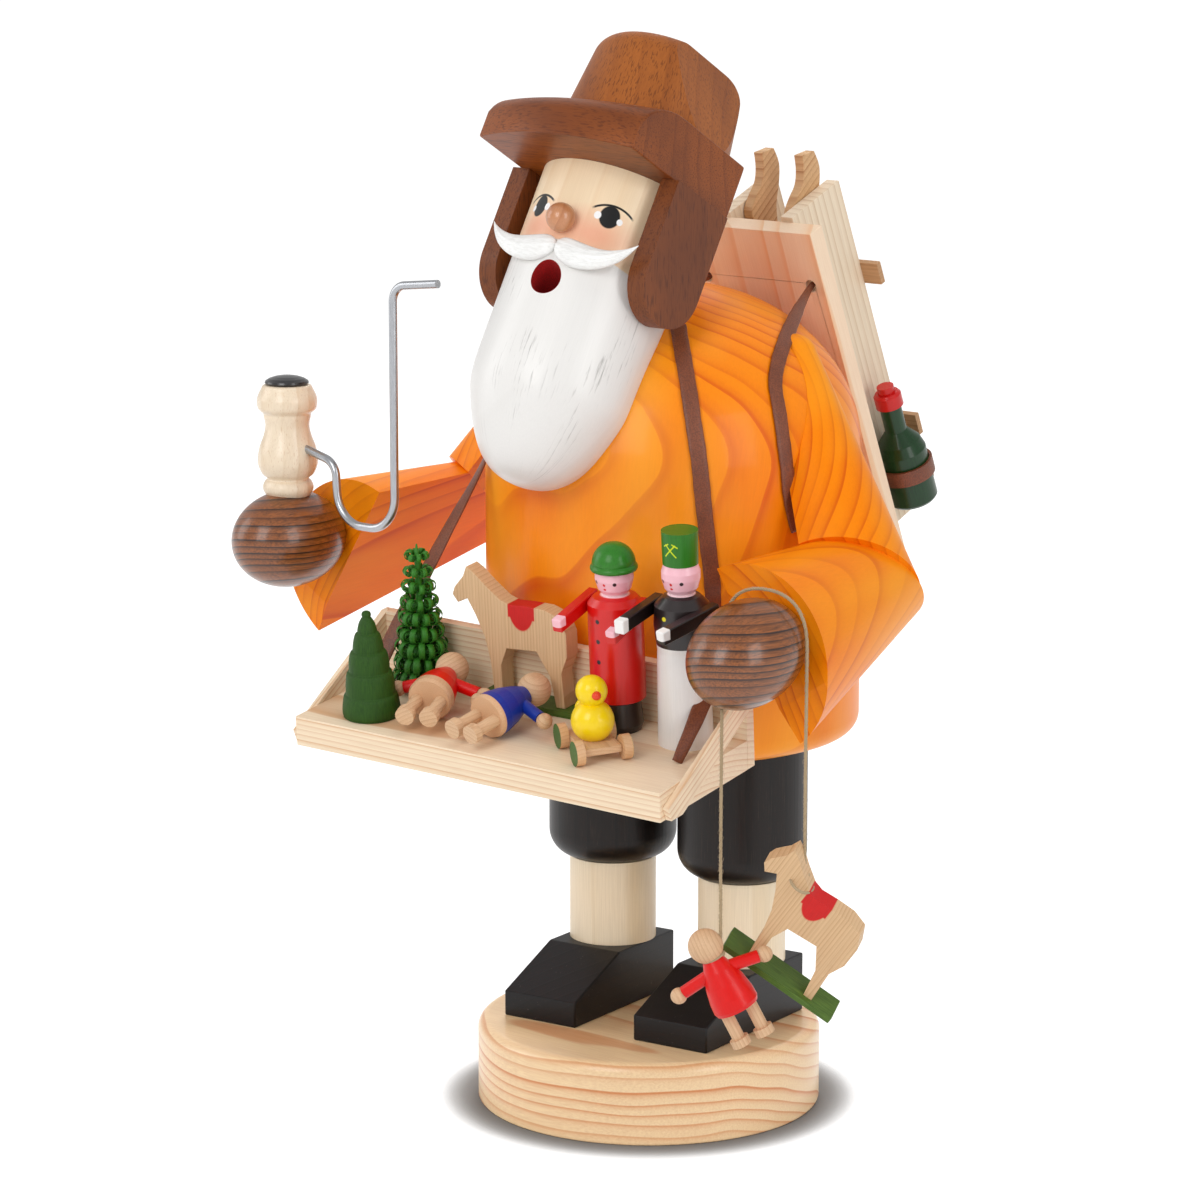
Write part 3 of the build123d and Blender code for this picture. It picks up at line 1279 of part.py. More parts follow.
# Bottle, upright beside the pack, in a strap
BOTTLE_RADIUS = BOTTLE_DIAMETER / 2
BOTTLE_PLACE = in_frame(PACK_PLANE, SIDE_OUT + BOTTLE_RADIUS + FIT_GAP, BOTTLE_BACK, BOTTLE_LEVEL)
BOTTLE_AXIS = Vector(0, -sin(radians(BOTTLE_LEAN)), cos(radians(BOTTLE_LEAN)))
BOTTLE_PLANE = Plane(origin=BOTTLE_PLACE, x_dir=(1, 0, 0), z_dir=BOTTLE_AXIS)
neck_radius = BOTTLE_NECK_DIAMETER / 2
cap_radius = BOTTLE_CAP_DIAMETER / 2
bottle_points = (
    (0, 0), (BOTTLE_RADIUS * 0.92, 0), (BOTTLE_RADIUS, BOTTLE_RADIUS * 0.1),
    (BOTTLE_RADIUS, BOTTLE_HEIGHT * 0.44), (BOTTLE_RADIUS * 0.86, BOTTLE_HEIGHT * 0.52),
    (neck_radius, BOTTLE_HEIGHT * 0.62), (neck_radius, BOTTLE_HEIGHT - BOTTLE_CAP_HEIGHT),
    (cap_radius, BOTTLE_HEIGHT - BOTTLE_CAP_HEIGHT), (cap_radius, BOTTLE_HEIGHT - cap_radius * 0.7),
    (cap_radius * 0.85, BOTTLE_HEIGHT - cap_radius * 0.5),
    (cap_radius * 0.62, BOTTLE_HEIGHT - cap_radius * 0.5), (cap_radius * 0.62, BOTTLE_HEIGHT),
    (0, BOTTLE_HEIGHT),
)
with BuildPart() as bottle:
    add(turned(BOTTLE_PLANE, bottle_points))
bottle.part.label = "bottle"

BOTTLE_STRAP_LEVEL = BOTTLE_HEIGHT * 0.22
strap_plane = BOTTLE_PLANE.offset(BOTTLE_STRAP_LEVEL)
side_gap = FIT_GAP + BOTTLE_RADIUS
with BuildPart() as bottle_strap:
    with BuildSketch(strap_plane):
        Circle(BOTTLE_RADIUS + FIT_GAP + STRAP_THICKNESS)
        with Locations((-side_gap / 2, 0)):
            Rectangle(side_gap, (BOTTLE_RADIUS + FIT_GAP + STRAP_THICKNESS) * 2)
        Circle(BOTTLE_RADIUS + FIT_GAP, mode=Mode.SUBTRACT)
        with Locations((-side_gap / 2, 0)):
            Rectangle(side_gap, (BOTTLE_RADIUS + FIT_GAP) * 2, mode=Mode.SUBTRACT)
    extrude(amount=STRAP_WIDTH)
    add(pack_sides.part, mode=Mode.SUBTRACT)
    split(bisect_by=Plane(
        origin=in_frame(PACK_PLANE, SIDE_OUT, 0, 0), x_dir=PACK_PLANE.y_dir, z_dir=PACK_PLANE.x_dir
    ), keep=Keep.TOP)
bottle_strap.part.label = "bottle_strap"

# Hanging doll: a straight string holds it by the neck
DOLL_STRING_TOP = HAND_PLACE_LEFT[2] - HAND_DIAMETER / 2 - FIT_GAP * 3
with BuildPart() as doll_string:
    with BuildSketch(Plane(
        origin=(DOLL_STRING_PLACE[0], DOLL_STRING_PLACE[1], DOLL_STRING_TOP), z_dir=(0, 0, -1)
    )):
        Circle(STRING_DIAMETER / 2)
    extrude(amount=DOLL_STRING_LENGTH)
doll_string.part.label = "doll_string"

view_right = Vector(cos(radians(HANG_TURN)), sin(radians(HANG_TURN)), 0)
view_front = Vector(sin(radians(HANG_TURN)), -cos(radians(HANG_TURN)), 0)
DOLL_HOLD = Vector(
    DOLL_STRING_PLACE[0], DOLL_STRING_PLACE[1], DOLL_STRING_TOP - DOLL_STRING_LENGTH
)
doll_upright = Plane(
    origin=DOLL_HOLD + view_right * HANG_DOLL_NECK[0] - Vector(0, 0, HANG_DOLL_NECK[1]),
    x_dir=view_right,
    z_dir=view_front,
)
HANG_DOLL_TOP = turned_plane(doll_upright, 0, 0, HANG_DOLL_ROLL)
HANG_DOLL_PLANE = Plane(
    origin=in_frame(HANG_DOLL_TOP, 0, -DOLL_BODY_LENGTH / 2, 0),
    x_dir=HANG_DOLL_TOP.x_dir,
    z_dir=HANG_DOLL_TOP.z_dir,
)
with BuildPart() as hanging_doll_dress:
    add(doll_dress(HANG_DOLL_PLANE))
    add(doll_string.part, mode=Mode.SUBTRACT)
hanging_doll_dress.part.label = "hanging_doll_dress"

with BuildPart() as hanging_doll_wood:
    add(doll_wood(HANG_DOLL_PLANE, hanging_doll_dress.part))
    add(doll_string.part, mode=Mode.SUBTRACT)
hanging_doll_wood.part.label = "hanging_doll_wood"

# Hanging horse: its string lies over the left hand and drops at the outer side
hand_lean = sin(radians(HAND_DROP_LEFT)) / cos(radians(HAND_DROP_LEFT))
string_share = (1 - (HORSE_STRING_BACK / (HAND_LENGTH / 2)) ** 2) ** 0.5
STRING_LOOP_RADIUS = HAND_DIAMETER / 2 * string_share / cos(radians(HAND_DROP_LEFT)) + STRING_DIAMETER
LOOP_CENTRE = Vector(
    HAND_PLACE_LEFT[0],
    HAND_PLACE_LEFT[1] + HORSE_STRING_BACK,
    HAND_PLACE_LEFT[2] + HORSE_STRING_BACK * hand_lean,
)
LOOP_PLANE = Plane(origin=LOOP_CENTRE, x_dir=(1, 0, 0), z_dir=(0, -1, 0))
with BuildPart() as horse_string:
    with BuildLine(LOOP_PLANE) as horse_string_line:
        Line((STRING_LOOP_RADIUS, -HORSE_STRING_LENGTH), (STRING_LOOP_RADIUS, 0))
        CenterArc((0, 0), STRING_LOOP_RADIUS, 0, 180)
    with BuildSketch(Plane(origin=horse_string_line.line @ 0, z_dir=horse_string_line.line % 0)):
        Circle(STRING_DIAMETER / 2)
    sweep()
horse_string.part.label = "horse_string"
print("string arc radius", STRING_LOOP_RADIUS)

HORSE_HOLD = in_frame(LOOP_PLANE, STRING_LOOP_RADIUS, -HORSE_STRING_LENGTH, 0)
horse_upright = Plane(origin=HORSE_HOLD, x_dir=view_right, z_dir=view_front)
horse_rolled = turned_plane(horse_upright, *HANG_HORSE_TURNS)
horse_hold_plane = turned_plane(horse_rolled, HANG_HORSE_LEAN, 0, 0)
HANG_HORSE_PLANE = Plane(
    origin=in_frame(
        horse_hold_plane,
        -HORSE_LENGTH * HANG_HORSE_HOLD_SHARES[0],
        -HORSE_HEIGHT * HANG_HORSE_HOLD_SHARES[1],
        0,
    ),
    x_dir=horse_hold_plane.x_dir,
    z_dir=horse_hold_plane.z_dir,
)
with BuildPart() as hanging_horse:
    add(horse_board(HANG_HORSE_PLANE, HORSE_LENGTH, HORSE_HEIGHT, HORSE_THICKNESS))
    add(horse_string.part, mode=Mode.SUBTRACT)
hanging_horse.part.label = "hanging_horse"

HANG_STAND_PLANE = Plane(
    origin=in_frame(HANG_HORSE_PLANE, HORSE_LENGTH * 0.65, 0, 0),
    x_dir=HANG_HORSE_PLANE.x_dir,
    z_dir=-HANG_HORSE_PLANE.y_dir,
)
with BuildPart() as hanging_horse_stand:
    with BuildSketch(HANG_STAND_PLANE):
        Rectangle(STAND_LENGTH, STAND_WIDTH)
    extrude(amount=STAND_THICKNESS)
hanging_horse_stand.part.label = "hanging_horse_stand"

# Tray strap: a thong that lies on the coat's dome and runs straight down to the tray
strap_envelope = bell(
    COAT_RADIUS + STRAP_THICKNESS,
    COAT_BOTTOM,
    COAT_SHOULDER,
    COAT_TOP + STRAP_THICKNESS,
    COAT_EDGE_ROUND,
)


def strap_run(start, end, outward):
    """A flat straight run of strap between two points, its face toward the outward direction."""
    run = end - start
    across = run.cross(outward).normalized()
    middle = start + outward.normalized() * (STRAP_THICKNESS / 2 + RUN_GAP)
    with BuildPart() as thong:
        with BuildSketch(Plane(origin=middle, x_dir=across, z_dir=run)):
            Rectangle(STRAP_WIDTH, STRAP_THICKNESS)
        extrude(amount=run.length)
    return thong.part


def strap_slab(start, end, outward, length, depth):
    """A deep slab as wide as the strap, to cut a run out of the shell round the coat."""
    run = (end - start).normalized()
    across = run.cross(outward).normalized()
    with BuildPart() as slab:
        with BuildSketch(Plane(origin=start, x_dir=across, z_dir=run)):
            Rectangle(STRAP_WIDTH, depth)
        extrude(amount=length)
    return slab.part


with BuildPart() as coat_shell:
    add(strap_envelope)
    add(coat_envelope, mode=Mode.SUBTRACT)

strap_top = Vector(*TRAY_STRAP_TOP)
strap_turn = Vector(*TRAY_STRAP_TURN)
strap_foot = in_frame(TRAY_TOP, TRAY_STRAP_PLACE[0], TRAY_STRAP_PLACE[1], RUN_GAP)
outward = Vector(strap_turn.X, strap_turn.Y - COAT_BACK, 0)
with BuildPart() as tray_strap_half:
    add(coat_shell.part)
    add(
        strap_slab(strap_turn, strap_top, outward, (strap_top - strap_turn).length, COAT_RADIUS),
        mode=Mode.INTERSECT,
    )
free_outward = outward - (strap_foot - strap_turn) * (
    outward.dot(strap_foot - strap_turn) / (strap_foot - strap_turn).length ** 2
)
far_strap_half = mirror(tray_strap_half.part, about=Plane.YZ)
with BuildPart() as tray_strap:
    add(tray_strap_half.part)
    add(strap_run(strap_turn, strap_foot, free_outward))
    add(far_strap_half)
    for piece in (left_ear_flap, right_ear_flap, head, left_hand, tray_back, miner_figure):
        add(piece.part, mode=Mode.SUBTRACT)
    with BuildSketch(TRAY_TOP):
        Rectangle(TRAY_LENGTH * 2, TRAY_LENGTH * 2)
    extrude(amount=-COAT_DIAMETER, mode=Mode.SUBTRACT)
tray_strap.part.label = "tray_strap"

# Pack straps: from the holes in the pack's board over each shoulder and down beside the arm
strap_points = [Vector(*point) for point in PACK_STRAP_POINTS]
with BuildPart() as pack_strap_half:
    for start, end in zip(strap_points, strap_points[1:]):
        off_coat = Vector(end.X, end.Y - COAT_BACK, max(end.Z - COAT_SHOULDER, 0))
        add(strap_run(start, end, off_coat - (end - start) * (off_coat.dot(end - start) / (end - start).length ** 2)))
far_pack_strap = mirror(pack_strap_half.part, about=Plane.YZ)
with BuildPart() as pack_strap:
    add(pack_strap_half.part)
    add(far_pack_strap)
    add(coat_envelope, mode=Mode.SUBTRACT)
    for piece in (pack_board, left_upper_arm, right_upper_arm, left_forearm, right_forearm):
        add(piece.part, mode=Mode.SUBTRACT)
pack_strap.part.label = "pack_strap"

named_parts = (
    base_disc, shoes, stockings, breeches, seat_board, leg_dowels, incense_dish, incense_cone,
    coat, head, nose, moustache, hat_brim, hat_crown, right_ear_flap, left_ear_flap,
    right_upper_arm, left_upper_arm, right_forearm, left_forearm, right_hand, left_hand,
    pipe_bowl, pipe_lid, pipe_stem, tray_board, tray_back, tray_braces, turned_tree, curled_tree,
    toy_horse, toy_horse_stand, red_doll_body, blue_doll_body, lying_doll_wood,
    soldier_figure, soldier_hat, soldier_arms, miner_figure, miner_hat, miner_arms,
    duck, duck_cart, duck_left_axle, duck_right_axle,
    pack_board, pack_sides, pack_laths, pack_floor, sled, bottle, bottle_strap,
    doll_string, hanging_doll_dress, hanging_doll_wood,
    horse_string, hanging_horse, hanging_horse_stand, tray_strap, pack_strap,
)
for piece in named_parts:
    export_step(piece.part, "parts/" + piece.part.label + ".step")
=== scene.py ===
import bpy
import math
import random
from mathutils import Euler, Matrix, Vector


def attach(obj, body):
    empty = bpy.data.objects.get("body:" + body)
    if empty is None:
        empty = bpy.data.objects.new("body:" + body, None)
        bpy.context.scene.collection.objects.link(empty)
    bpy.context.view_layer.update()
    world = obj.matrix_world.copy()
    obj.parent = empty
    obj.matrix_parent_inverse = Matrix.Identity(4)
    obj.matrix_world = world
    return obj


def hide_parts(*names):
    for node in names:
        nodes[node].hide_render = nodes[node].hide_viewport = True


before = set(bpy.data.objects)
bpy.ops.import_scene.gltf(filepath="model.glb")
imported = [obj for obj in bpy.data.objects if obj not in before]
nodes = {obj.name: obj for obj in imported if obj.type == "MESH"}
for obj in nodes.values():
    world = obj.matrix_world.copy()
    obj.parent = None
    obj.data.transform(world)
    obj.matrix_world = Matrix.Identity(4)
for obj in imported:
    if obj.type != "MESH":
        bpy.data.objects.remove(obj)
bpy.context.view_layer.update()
scene = bpy.context.scene
scene.view_settings.view_transform = "Standard"
MM = 0.001


def linked(name, data):
    """A new object in the scene."""
    made = bpy.data.objects.new(name, data)
    scene.collection.objects.link(made)
    return made


def metres(*point):
    """A place given in millimetres, in metres."""
    return Vector(point) * MM


# Camera at the photograph's viewing angle
camera = linked("camera", bpy.data.cameras.new("camera"))
camera.data.lens = 126.14
camera.data.sensor_width = 36.0
turn, drop = math.radians(40.69), math.radians(11.12)
forward = Vector((-math.sin(turn) * math.cos(drop), math.cos(turn) * math.cos(drop), -math.sin(drop)))
right = forward.cross(Vector((0, 0, 1))).normalized()
up = right.cross(forward)
camera.matrix_world = Matrix.Translation(metres(1220.65, -1454.72, 609.46)) @ Matrix(
    (
        (right.x, up.x, -forward.x),
        (right.y, up.y, -forward.y),
        (right.z, up.z, -forward.z),
    )
).to_4x4()
scene.camera = camera


# Small mesh helpers
def mesh_piece(name, vertices, faces, smooth=True):
    """A mesh object from lists of points and faces."""
    mesh = bpy.data.meshes.new(name)
    mesh.from_pydata([tuple(v) for v in vertices], [], faces)
    mesh.validate()
    mesh.update()
    if smooth:
        mesh.polygons.foreach_set("use_smooth", [True] * len(mesh.polygons))
    return linked(name, mesh)


def tube_rings(rings, closed_ends=True):
    """Points and faces of a skin over rings of equal counts."""
    count = len(rings[0])
    points = [p for ring in rings for p in ring]
    faces = []
    for i in range(len(rings) - 1):
        for j in range(count):
            k = (j + 1) % count
            faces.append((i * count + j, i * count + k, (i + 1) * count + k, (i + 1) * count + j))
    if closed_ends:
        faces.append(tuple(reversed(range(count))))
        faces.append(tuple((len(rings) - 1) * count + j for j in range(count)))
    return points, faces


def frames_along(path):
    """Two directions across the path at each of its points, carried along without twist."""
    result = []
    side = None
    for i, point in enumerate(path):
        ahead = path[min(i + 1, len(path) - 1)] - path[max(i - 1, 0)]
        ahead.normalize()
        if side is None:
            side = ahead.orthogonal().normalized()
        side = (side - ahead * side.dot(ahead)).normalized()
        result.append((side, ahead.cross(side)))
    return result


def tube(path, radius, count=8):
    """A round skin along a path."""
    rings = []
    for point, (a, b) in zip(path, frames_along(path)):
        turns = [2 * math.pi * j / count for j in range(count)]
        rings.append([point + (a * math.cos(t) + b * math.sin(t)) * radius for t in turns])
    return tube_rings(rings)


def merged(parts):
    """Several skins joined into one list of points and faces."""
    points, faces = [], []
    for some_points, some_faces in parts:
        start = len(points)
        points.extend(some_points)
        faces.extend(tuple(i + start for i in face) for face in some_faces)
    return points, faces


def evenly(path, step):
    """Points at even steps along a path."""
    result = [path[0].copy()]
    left = step
    for a, b in zip(path, path[1:]):
        length = (b - a).length
        while left <= length:
            result.append(a.lerp(b, left / length))
            left += step
        left -= length
    if (result[-1] - path[-1]).length > step * 0.2:
        result.append(path[-1].copy())
    return result


def twine(path, rng, pitch=0.0044, radius=0.0008, fuzz=140):
    """Three strands twisted along a path, with short loose fibres."""
    path = evenly(path, 0.0007)
    across = frames_along(path)
    strand_radius = radius * 0.52
    parts = []
    for strand in range(3):
        line = []
        for i, (point, (a, b)) in enumerate(zip(path, across)):
            t = 2 * math.pi * (i * 0.0007 / pitch + strand / 3)
            t += 0.35 * math.sin(i * 0.021 + strand)
            line.append(point + (a * math.cos(t) + b * math.sin(t)) * (radius - strand_radius))
        parts.append(tube(line, strand_radius, 7))
    for _ in range(fuzz):
        i = rng.randrange(2, len(path) - 3)
        a, b = across[i]
        t = rng.uniform(0, 2 * math.pi)
        out = a * math.cos(t) + b * math.sin(t)
        along = (path[i + 1] - path[i]).normalized() * rng.choice((-1, 1))
        reach = rng.uniform(0.0004, 0.0012)
        hair = [
            path[i] + out * radius * 0.8,
            path[i] + out * (radius + reach * 0.35) + along * reach * 0.8,
            path[i] + out * (radius + reach * 0.5) + along * reach * 1.8,
        ]
        parts.append(tube(hair, 0.00004, 3))
    return merged(parts)


def spline_points(name, points):
    """The line of an open NURBS spline through its control points' middles."""
    curve = bpy.data.curves.new(name, "CURVE")
    curve.dimensions = "3D"
    spline = curve.splines.new("NURBS")
    spline.points.add(len(points) - 1)
    for target, point in zip(spline.points, points):
        target.co = (*metres(*point), 1.0)
    spline.order_u = 3
    spline.use_endpoint_u = True
    spline.resolution_u = 24
    helper = linked(name, curve)
    bpy.context.view_layer.update()
    mesh = bpy.data.meshes.new_from_object(helper)
    line = [v.co.copy() for v in mesh.vertices]
    bpy.data.objects.remove(helper)
    bpy.data.meshes.remove(mesh)
    return line


# The strings of the hanging toys
rng = random.Random(7)
DOLL_ROUTE = ((129.7, -107.0, 221.6), (129.7, -107.0, 212.0), (129.5, -107.1, 168.0),
              (129.7, -107.0, 124.0), (129.7, -107.0, 114.0))
HORSE_ROUTE = ((113.04, -85.0, 248.51), (113.04, -85.0, 270.87), (157.76, -85.0, 270.87),
               (157.76, -85.0, 226.1), (157.5, -85.1, 188.0), (157.76, -85.0, 148.51))
doll_line = spline_points("doll_route", DOLL_ROUTE)
horse_line = spline_points("horse_route", HORSE_ROUTE)
doll_string = mesh_piece("doll_string_twine", *twine(doll_line, rng))
horse_string = mesh_piece("horse_string_twine", *twine(horse_line, rng))
strings = ((doll_string, doll_line, "hanging_doll", "doll_string"),
           (horse_string, horse_line, "hanging_horse_toy", "horse_string"))


class Looks:
    """One material, with short calls for its nodes. Lengths inside it are millimetres."""

    def __init__(self, name, roughness=0.5, coat=0.0, coat_roughness=0.12, metallic=0.0, sheen=0.0):
        self.material = bpy.data.materials.new(name)
        self.material.use_nodes = True
        self.tree = self.material.node_tree
        self.shader = self.tree.nodes["Principled BSDF"]
        self.set("Roughness", roughness)
        self.set("Coat Weight", coat)
        self.set("Coat Roughness", coat_roughness)
        self.set("Metallic", metallic)
        self.set("Sheen Weight", sheen)
        self.place = self.tree.nodes.new("ShaderNodeTexCoord").outputs["Object"]

    def set(self, name, value):
        self.put(self.shader.inputs[name], value)

    def put(self, socket, value):
        if isinstance(value, bpy.types.NodeSocket):
            self.tree.links.new(value, socket)
        elif isinstance(value, (tuple, list)) and len(value) == 3 and socket.type == "RGBA":
            socket.default_value = (*value, 1.0)
        else:
            socket.default_value = value

    def math(self, operation, *values, clamp=False):
        node = self.tree.nodes.new("ShaderNodeMath")
        node.operation = operation
        node.use_clamp = clamp
        for socket, value in zip(node.inputs, values):
            self.put(socket, value)
        return node.outputs[0]

    def vector(self, operation, *values):
        node = self.tree.nodes.new("ShaderNodeVectorMath")
        node.operation = operation
        for socket, value in zip(node.inputs, values):
            self.put(socket, value)
        return node.outputs["Value" if operation in ("LENGTH", "DISTANCE", "DOT_PRODUCT") else "Vector"]

    def parts(self, vector):
        node = self.tree.nodes.new("ShaderNodeSeparateXYZ")
        self.put(node.inputs[0], vector)
        return node.outputs[0], node.outputs[1], node.outputs[2]

    def joined(self, x, y, z):
        node = self.tree.nodes.new("ShaderNodeCombineXYZ")
        for socket, value in zip(node.inputs, (x, y, z)):
            self.put(socket, value)
        return node.outputs[0]

    def here(self, origin, x_axis=(1, 0, 0), z_axis=(0, 0, 1)):
        """Places in millimetres in a frame with this origin and these directions."""
        x = Vector(x_axis).normalized()
        z = Vector(z_axis)
        z = (z - x * z.dot(x)).normalized()
        y = z.cross(x)
        turn = Matrix(((x.x, y.x, z.x), (x.y, y.y, z.y), (x.z, y.z, z.z))).to_euler()
        node = self.tree.nodes.new("ShaderNodeMapping")
        node.vector_type = "TEXTURE"
        self.put(node.inputs["Vector"], self.place)
        node.inputs["Location"].default_value = metres(*origin)
        node.inputs["Rotation"].default_value = turn
        node.inputs["Scale"].default_value = (MM, MM, MM)
        return node.outputs[0]

    def noise(self, vector, scale=(1, 1, 1), detail=2.0, roughness=0.5, distortion=0.0, colour=False):
        node = self.tree.nodes.new("ShaderNodeTexNoise")
        self.put(node.inputs["Vector"], self.vector("MULTIPLY", vector, tuple(scale)))
        self.put(node.inputs["Scale"], 1.0)
        self.put(node.inputs["Detail"], detail)
        self.put(node.inputs["Roughness"], roughness)
        self.put(node.inputs["Distortion"], distortion)
        return node.outputs["Color" if colour else 0]

    def ramp(self, value, stops, smooth=False):
        """A value through (place, level) stops."""
        node = self.tree.nodes.new("ShaderNodeValToRGB")
        node.color_ramp.interpolation = "B_SPLINE" if smooth else "LINEAR"
        elements = node.color_ramp.elements
        while len(elements) < len(stops):
            elements.new(0.5)
        for element, (place, level) in zip(elements, stops):
            element.position = place
            element.color = (level, level, level, 1.0)
        self.put(node.inputs[0], value)
        return node.outputs["Color"]

    def mix(self, share, a, b, blend="MIX"):
        node = self.tree.nodes.new("ShaderNodeMix")
        node.data_type = "RGBA"
        node.blend_type = blend
        self.put(node.inputs[0], share)
        self.put(node.inputs[6], a)
        self.put(node.inputs[7], b)
        return node.outputs[2]

    def within(self, distance, reach, edge=0.12):
        """1 where the distance is under the reach, 0 past it, with a soft edge."""
        node = self.tree.nodes.new("ShaderNodeMapRange")
        self.put(node.inputs["Value"], distance)
        self.put(node.inputs["From Min"], reach + edge)
        self.put(node.inputs["From Max"], reach - edge)
        return node.outputs[0]

    def bump(self, height, strength=0.3, distance=0.2):
        node = self.tree.nodes.new("ShaderNodeBump")
        node.inputs["Strength"].default_value = strength
        node.inputs["Distance"].default_value = distance * MM
        self.put(node.inputs["Height"], height)
        self.set("Normal", node.outputs[0])

    def colour(self, value):
        self.set("Base Color", value)

    def on(self, *names):
        """Gives the material to CAD nodes or pieces."""
        for name in names:
            target = nodes[name] if isinstance(name, str) else name
            target.data.materials.clear()
            target.data.materials.append(self.material)
        return self

    def rings(self, at, ring, warp=5.0, wander=1.4):
        """How far each place is into its growth ring's dark part, 0 to 1, rings round the frame's Z."""
        slow = self.noise(at, (0.013, 0.013, 0.004), 2.0, 0.5, 0.0, True)
        slow = self.vector("SUBTRACT", slow, (0.5, 0.5, 0.5))
        bent = self.vector("ADD", at, self.vector("MULTIPLY", slow, (warp * 2, warp * 2, 0.0)))
        x, y, z = self.parts(bent)
        radius = self.vector("LENGTH", self.joined(x, y, 0.0))
        uneven = self.noise(self.joined(self.math("MULTIPLY", radius, 0.05), 3.7, 0.0), (1, 1, 1), 1.0)
        phase = self.math("DIVIDE", radius, ring)
        phase = self.math("ADD", phase, self.math("MULTIPLY", self.math("SUBTRACT", uneven, 0.5), wander))
        share = self.math("FRACT", phase)
        late = self.ramp(share, ((0.0, 0.0), (0.45, 0.10), (0.75, 0.45), (0.90, 1.0), (0.97, 0.85), (1.0, 0.0)))
        number = self.tree.nodes.new("ShaderNodeTexWhiteNoise")
        number.noise_dimensions = "1D"
        self.put(number.inputs["W"], self.math("FLOOR", phase))
        each = self.math("ADD", self.math("MULTIPLY", number.outputs["Value"], 0.55), 0.45)
        return self.math("MULTIPLY", late, each)

    def fibres(self, at, along=0.045, across=1.3):
        return self.noise(at, (across, across, along), 4.0, 0.65)

    def wood(self, origin, x_axis, z_axis, ring, light, dark, warp=5.0, show=1.0, fibre=0.22,
             across=1.3, grain_bump=0.12, shade=0.10):
        """Wood with its growth rings round the given Z. Returns the colour and the place."""
        at = self.here(origin, x_axis, z_axis)
        late = self.rings(at, ring, warp)
        thin = self.fibres(at, 0.045, across)
        share = self.math("MULTIPLY", late, show, clamp=True)
        colour = self.mix(share, light, dark)
        lines = self.ramp(thin, ((0.30, 0.0), (0.72, 1.0)))
        darker = tuple(c * 0.72 for c in dark)
        colour = self.mix(self.math("MULTIPLY", lines, fibre), colour, darker)
        broad = self.noise(at, (0.02, 0.02, 0.006), 2.0)
        colour = self.mix(self.math("MULTIPLY", broad, shade), colour, darker)
        height = self.math("ADD", self.math("MULTIPLY", late, 0.5), self.math("MULTIPLY", thin, 0.5))
        self.bump(height, grain_bump, 0.25)
        return colour, at


def tone(red, green, blue):
    """A colour as a screen shows it, as the shader's own numbers."""
    return tuple((c / 255) ** 2.2 for c in (red, green, blue))


# The frames of the sub-parts, in millimetres
UP = (0, 0, 1)
HEAD_ORIGIN, HEAD_X, HEAD_Z = (0, -57.6, 357.2), (1, 0, 0), (0, 0.5, 0.866)
HEAD_Y = (0, 0.866, -0.5)
FACE_X = (0.98481, 0.15038, -0.08682)
TRAY_ORIGIN, TRAY_X, TRAY_Z = (17.1, -139.5, 178.0), (0.99141, 0.12201, -0.04705), (0.06279, -0.12854, 0.98971)
TRAY_Y = tuple(Vector(TRAY_Z).cross(Vector(TRAY_X)))
PACK_ORIGIN, PACK_Z = (0, 97.8, 331.4), (0, -0.39073, 0.92050)
PACK_Y = (0, 0.92050, 0.39073)
SOLDIER_ORIGIN = (50.0232, -79.8999, 197.3933)
MINER_ORIGIN = (84.7800, -76.1215, 195.6789)
SOLDIER_NECK, MINER_NECK = 62.5, 68.5
CART_ORIGIN, CART_X = (61.10343, -110.54573, 198.36833), (0.85187, -0.50977, -0.12025)
TOY_HORSE = ((-37.90, -86.14, 205.19), (0.99141, 0.12201, -0.04705), (0.11471, -0.98417, -0.1351))
HUNG_HORSE = ((115.55424, -93.55469, 121.99358), (0.6924, 0.45119, -0.56304), (0.35552, -0.89239, -0.27792))
HORSE_LENGTH, TOY_HORSE_LENGTH, HORSE_HEIGHT = 55.0, 62.0, 59.0
BOTTLE_ORIGIN, BOTTLE_Z = (34.3, 156.53459, 267.2498), (0.0, -0.39073, 0.9205)
HUNG_DOLL_ORIGIN, HUNG_DOLL_X, HUNG_DOLL_Z = (131.17676, -105.72979, 101.80792), (0.6755, 0.58102, 0.45399), (0.6521, -0.75813, 0.0)
HUNG_DOLL_Y = tuple(Vector(HUNG_DOLL_Z).cross(Vector(HUNG_DOLL_X)))
RED_DOLL = ((-26.829, -114.46, 209.956), (0.92794, 0.37258, -0.01048),
            tuple(Vector((0.11331, -0.2552, 0.96023)).cross(Vector((0.92794, 0.37258, -0.01048)))))
BLUE_DOLL = ((13.5, -114.488, 207.393), (0.99627, -0.05074, -0.0698),
             tuple(Vector((0.05394, -0.26513, 0.9627)).cross(Vector((0.99627, -0.05074, -0.0698)))))

# Pale pine: base disc, tray and pack
PINE, PINE_LINE = tone(250, 222, 178), tone(208, 132, 74)
base_looks = Looks("base_pine", 0.36, 0.3, 0.08)
colour, _ = base_looks.wood((-34, -48, -170), (0, 0, 1), (0.98, 0.02, -0.2), 5.2, tone(252, 224, 178), tone(212, 126, 64), 9.0, 1.0, 0.28)
base_looks.colour(colour)
base_looks.on("base_disc")

TRAY_PINE, TRAY_LINE = tone(252, 232, 202), tone(218, 166, 118)
tray_looks = Looks("tray_pine", 0.5)
low = Vector(TRAY_ORIGIN) + Vector(TRAY_Y) * 20 - Vector(TRAY_Z) * 150
colour, _ = tray_looks.wood(low, TRAY_Y, TRAY_X, 2.6, TRAY_PINE, TRAY_LINE, 2.2, 0.85, 0.25)
tray_looks.colour(colour)
tray_looks.on("tray_board", "tray_back")

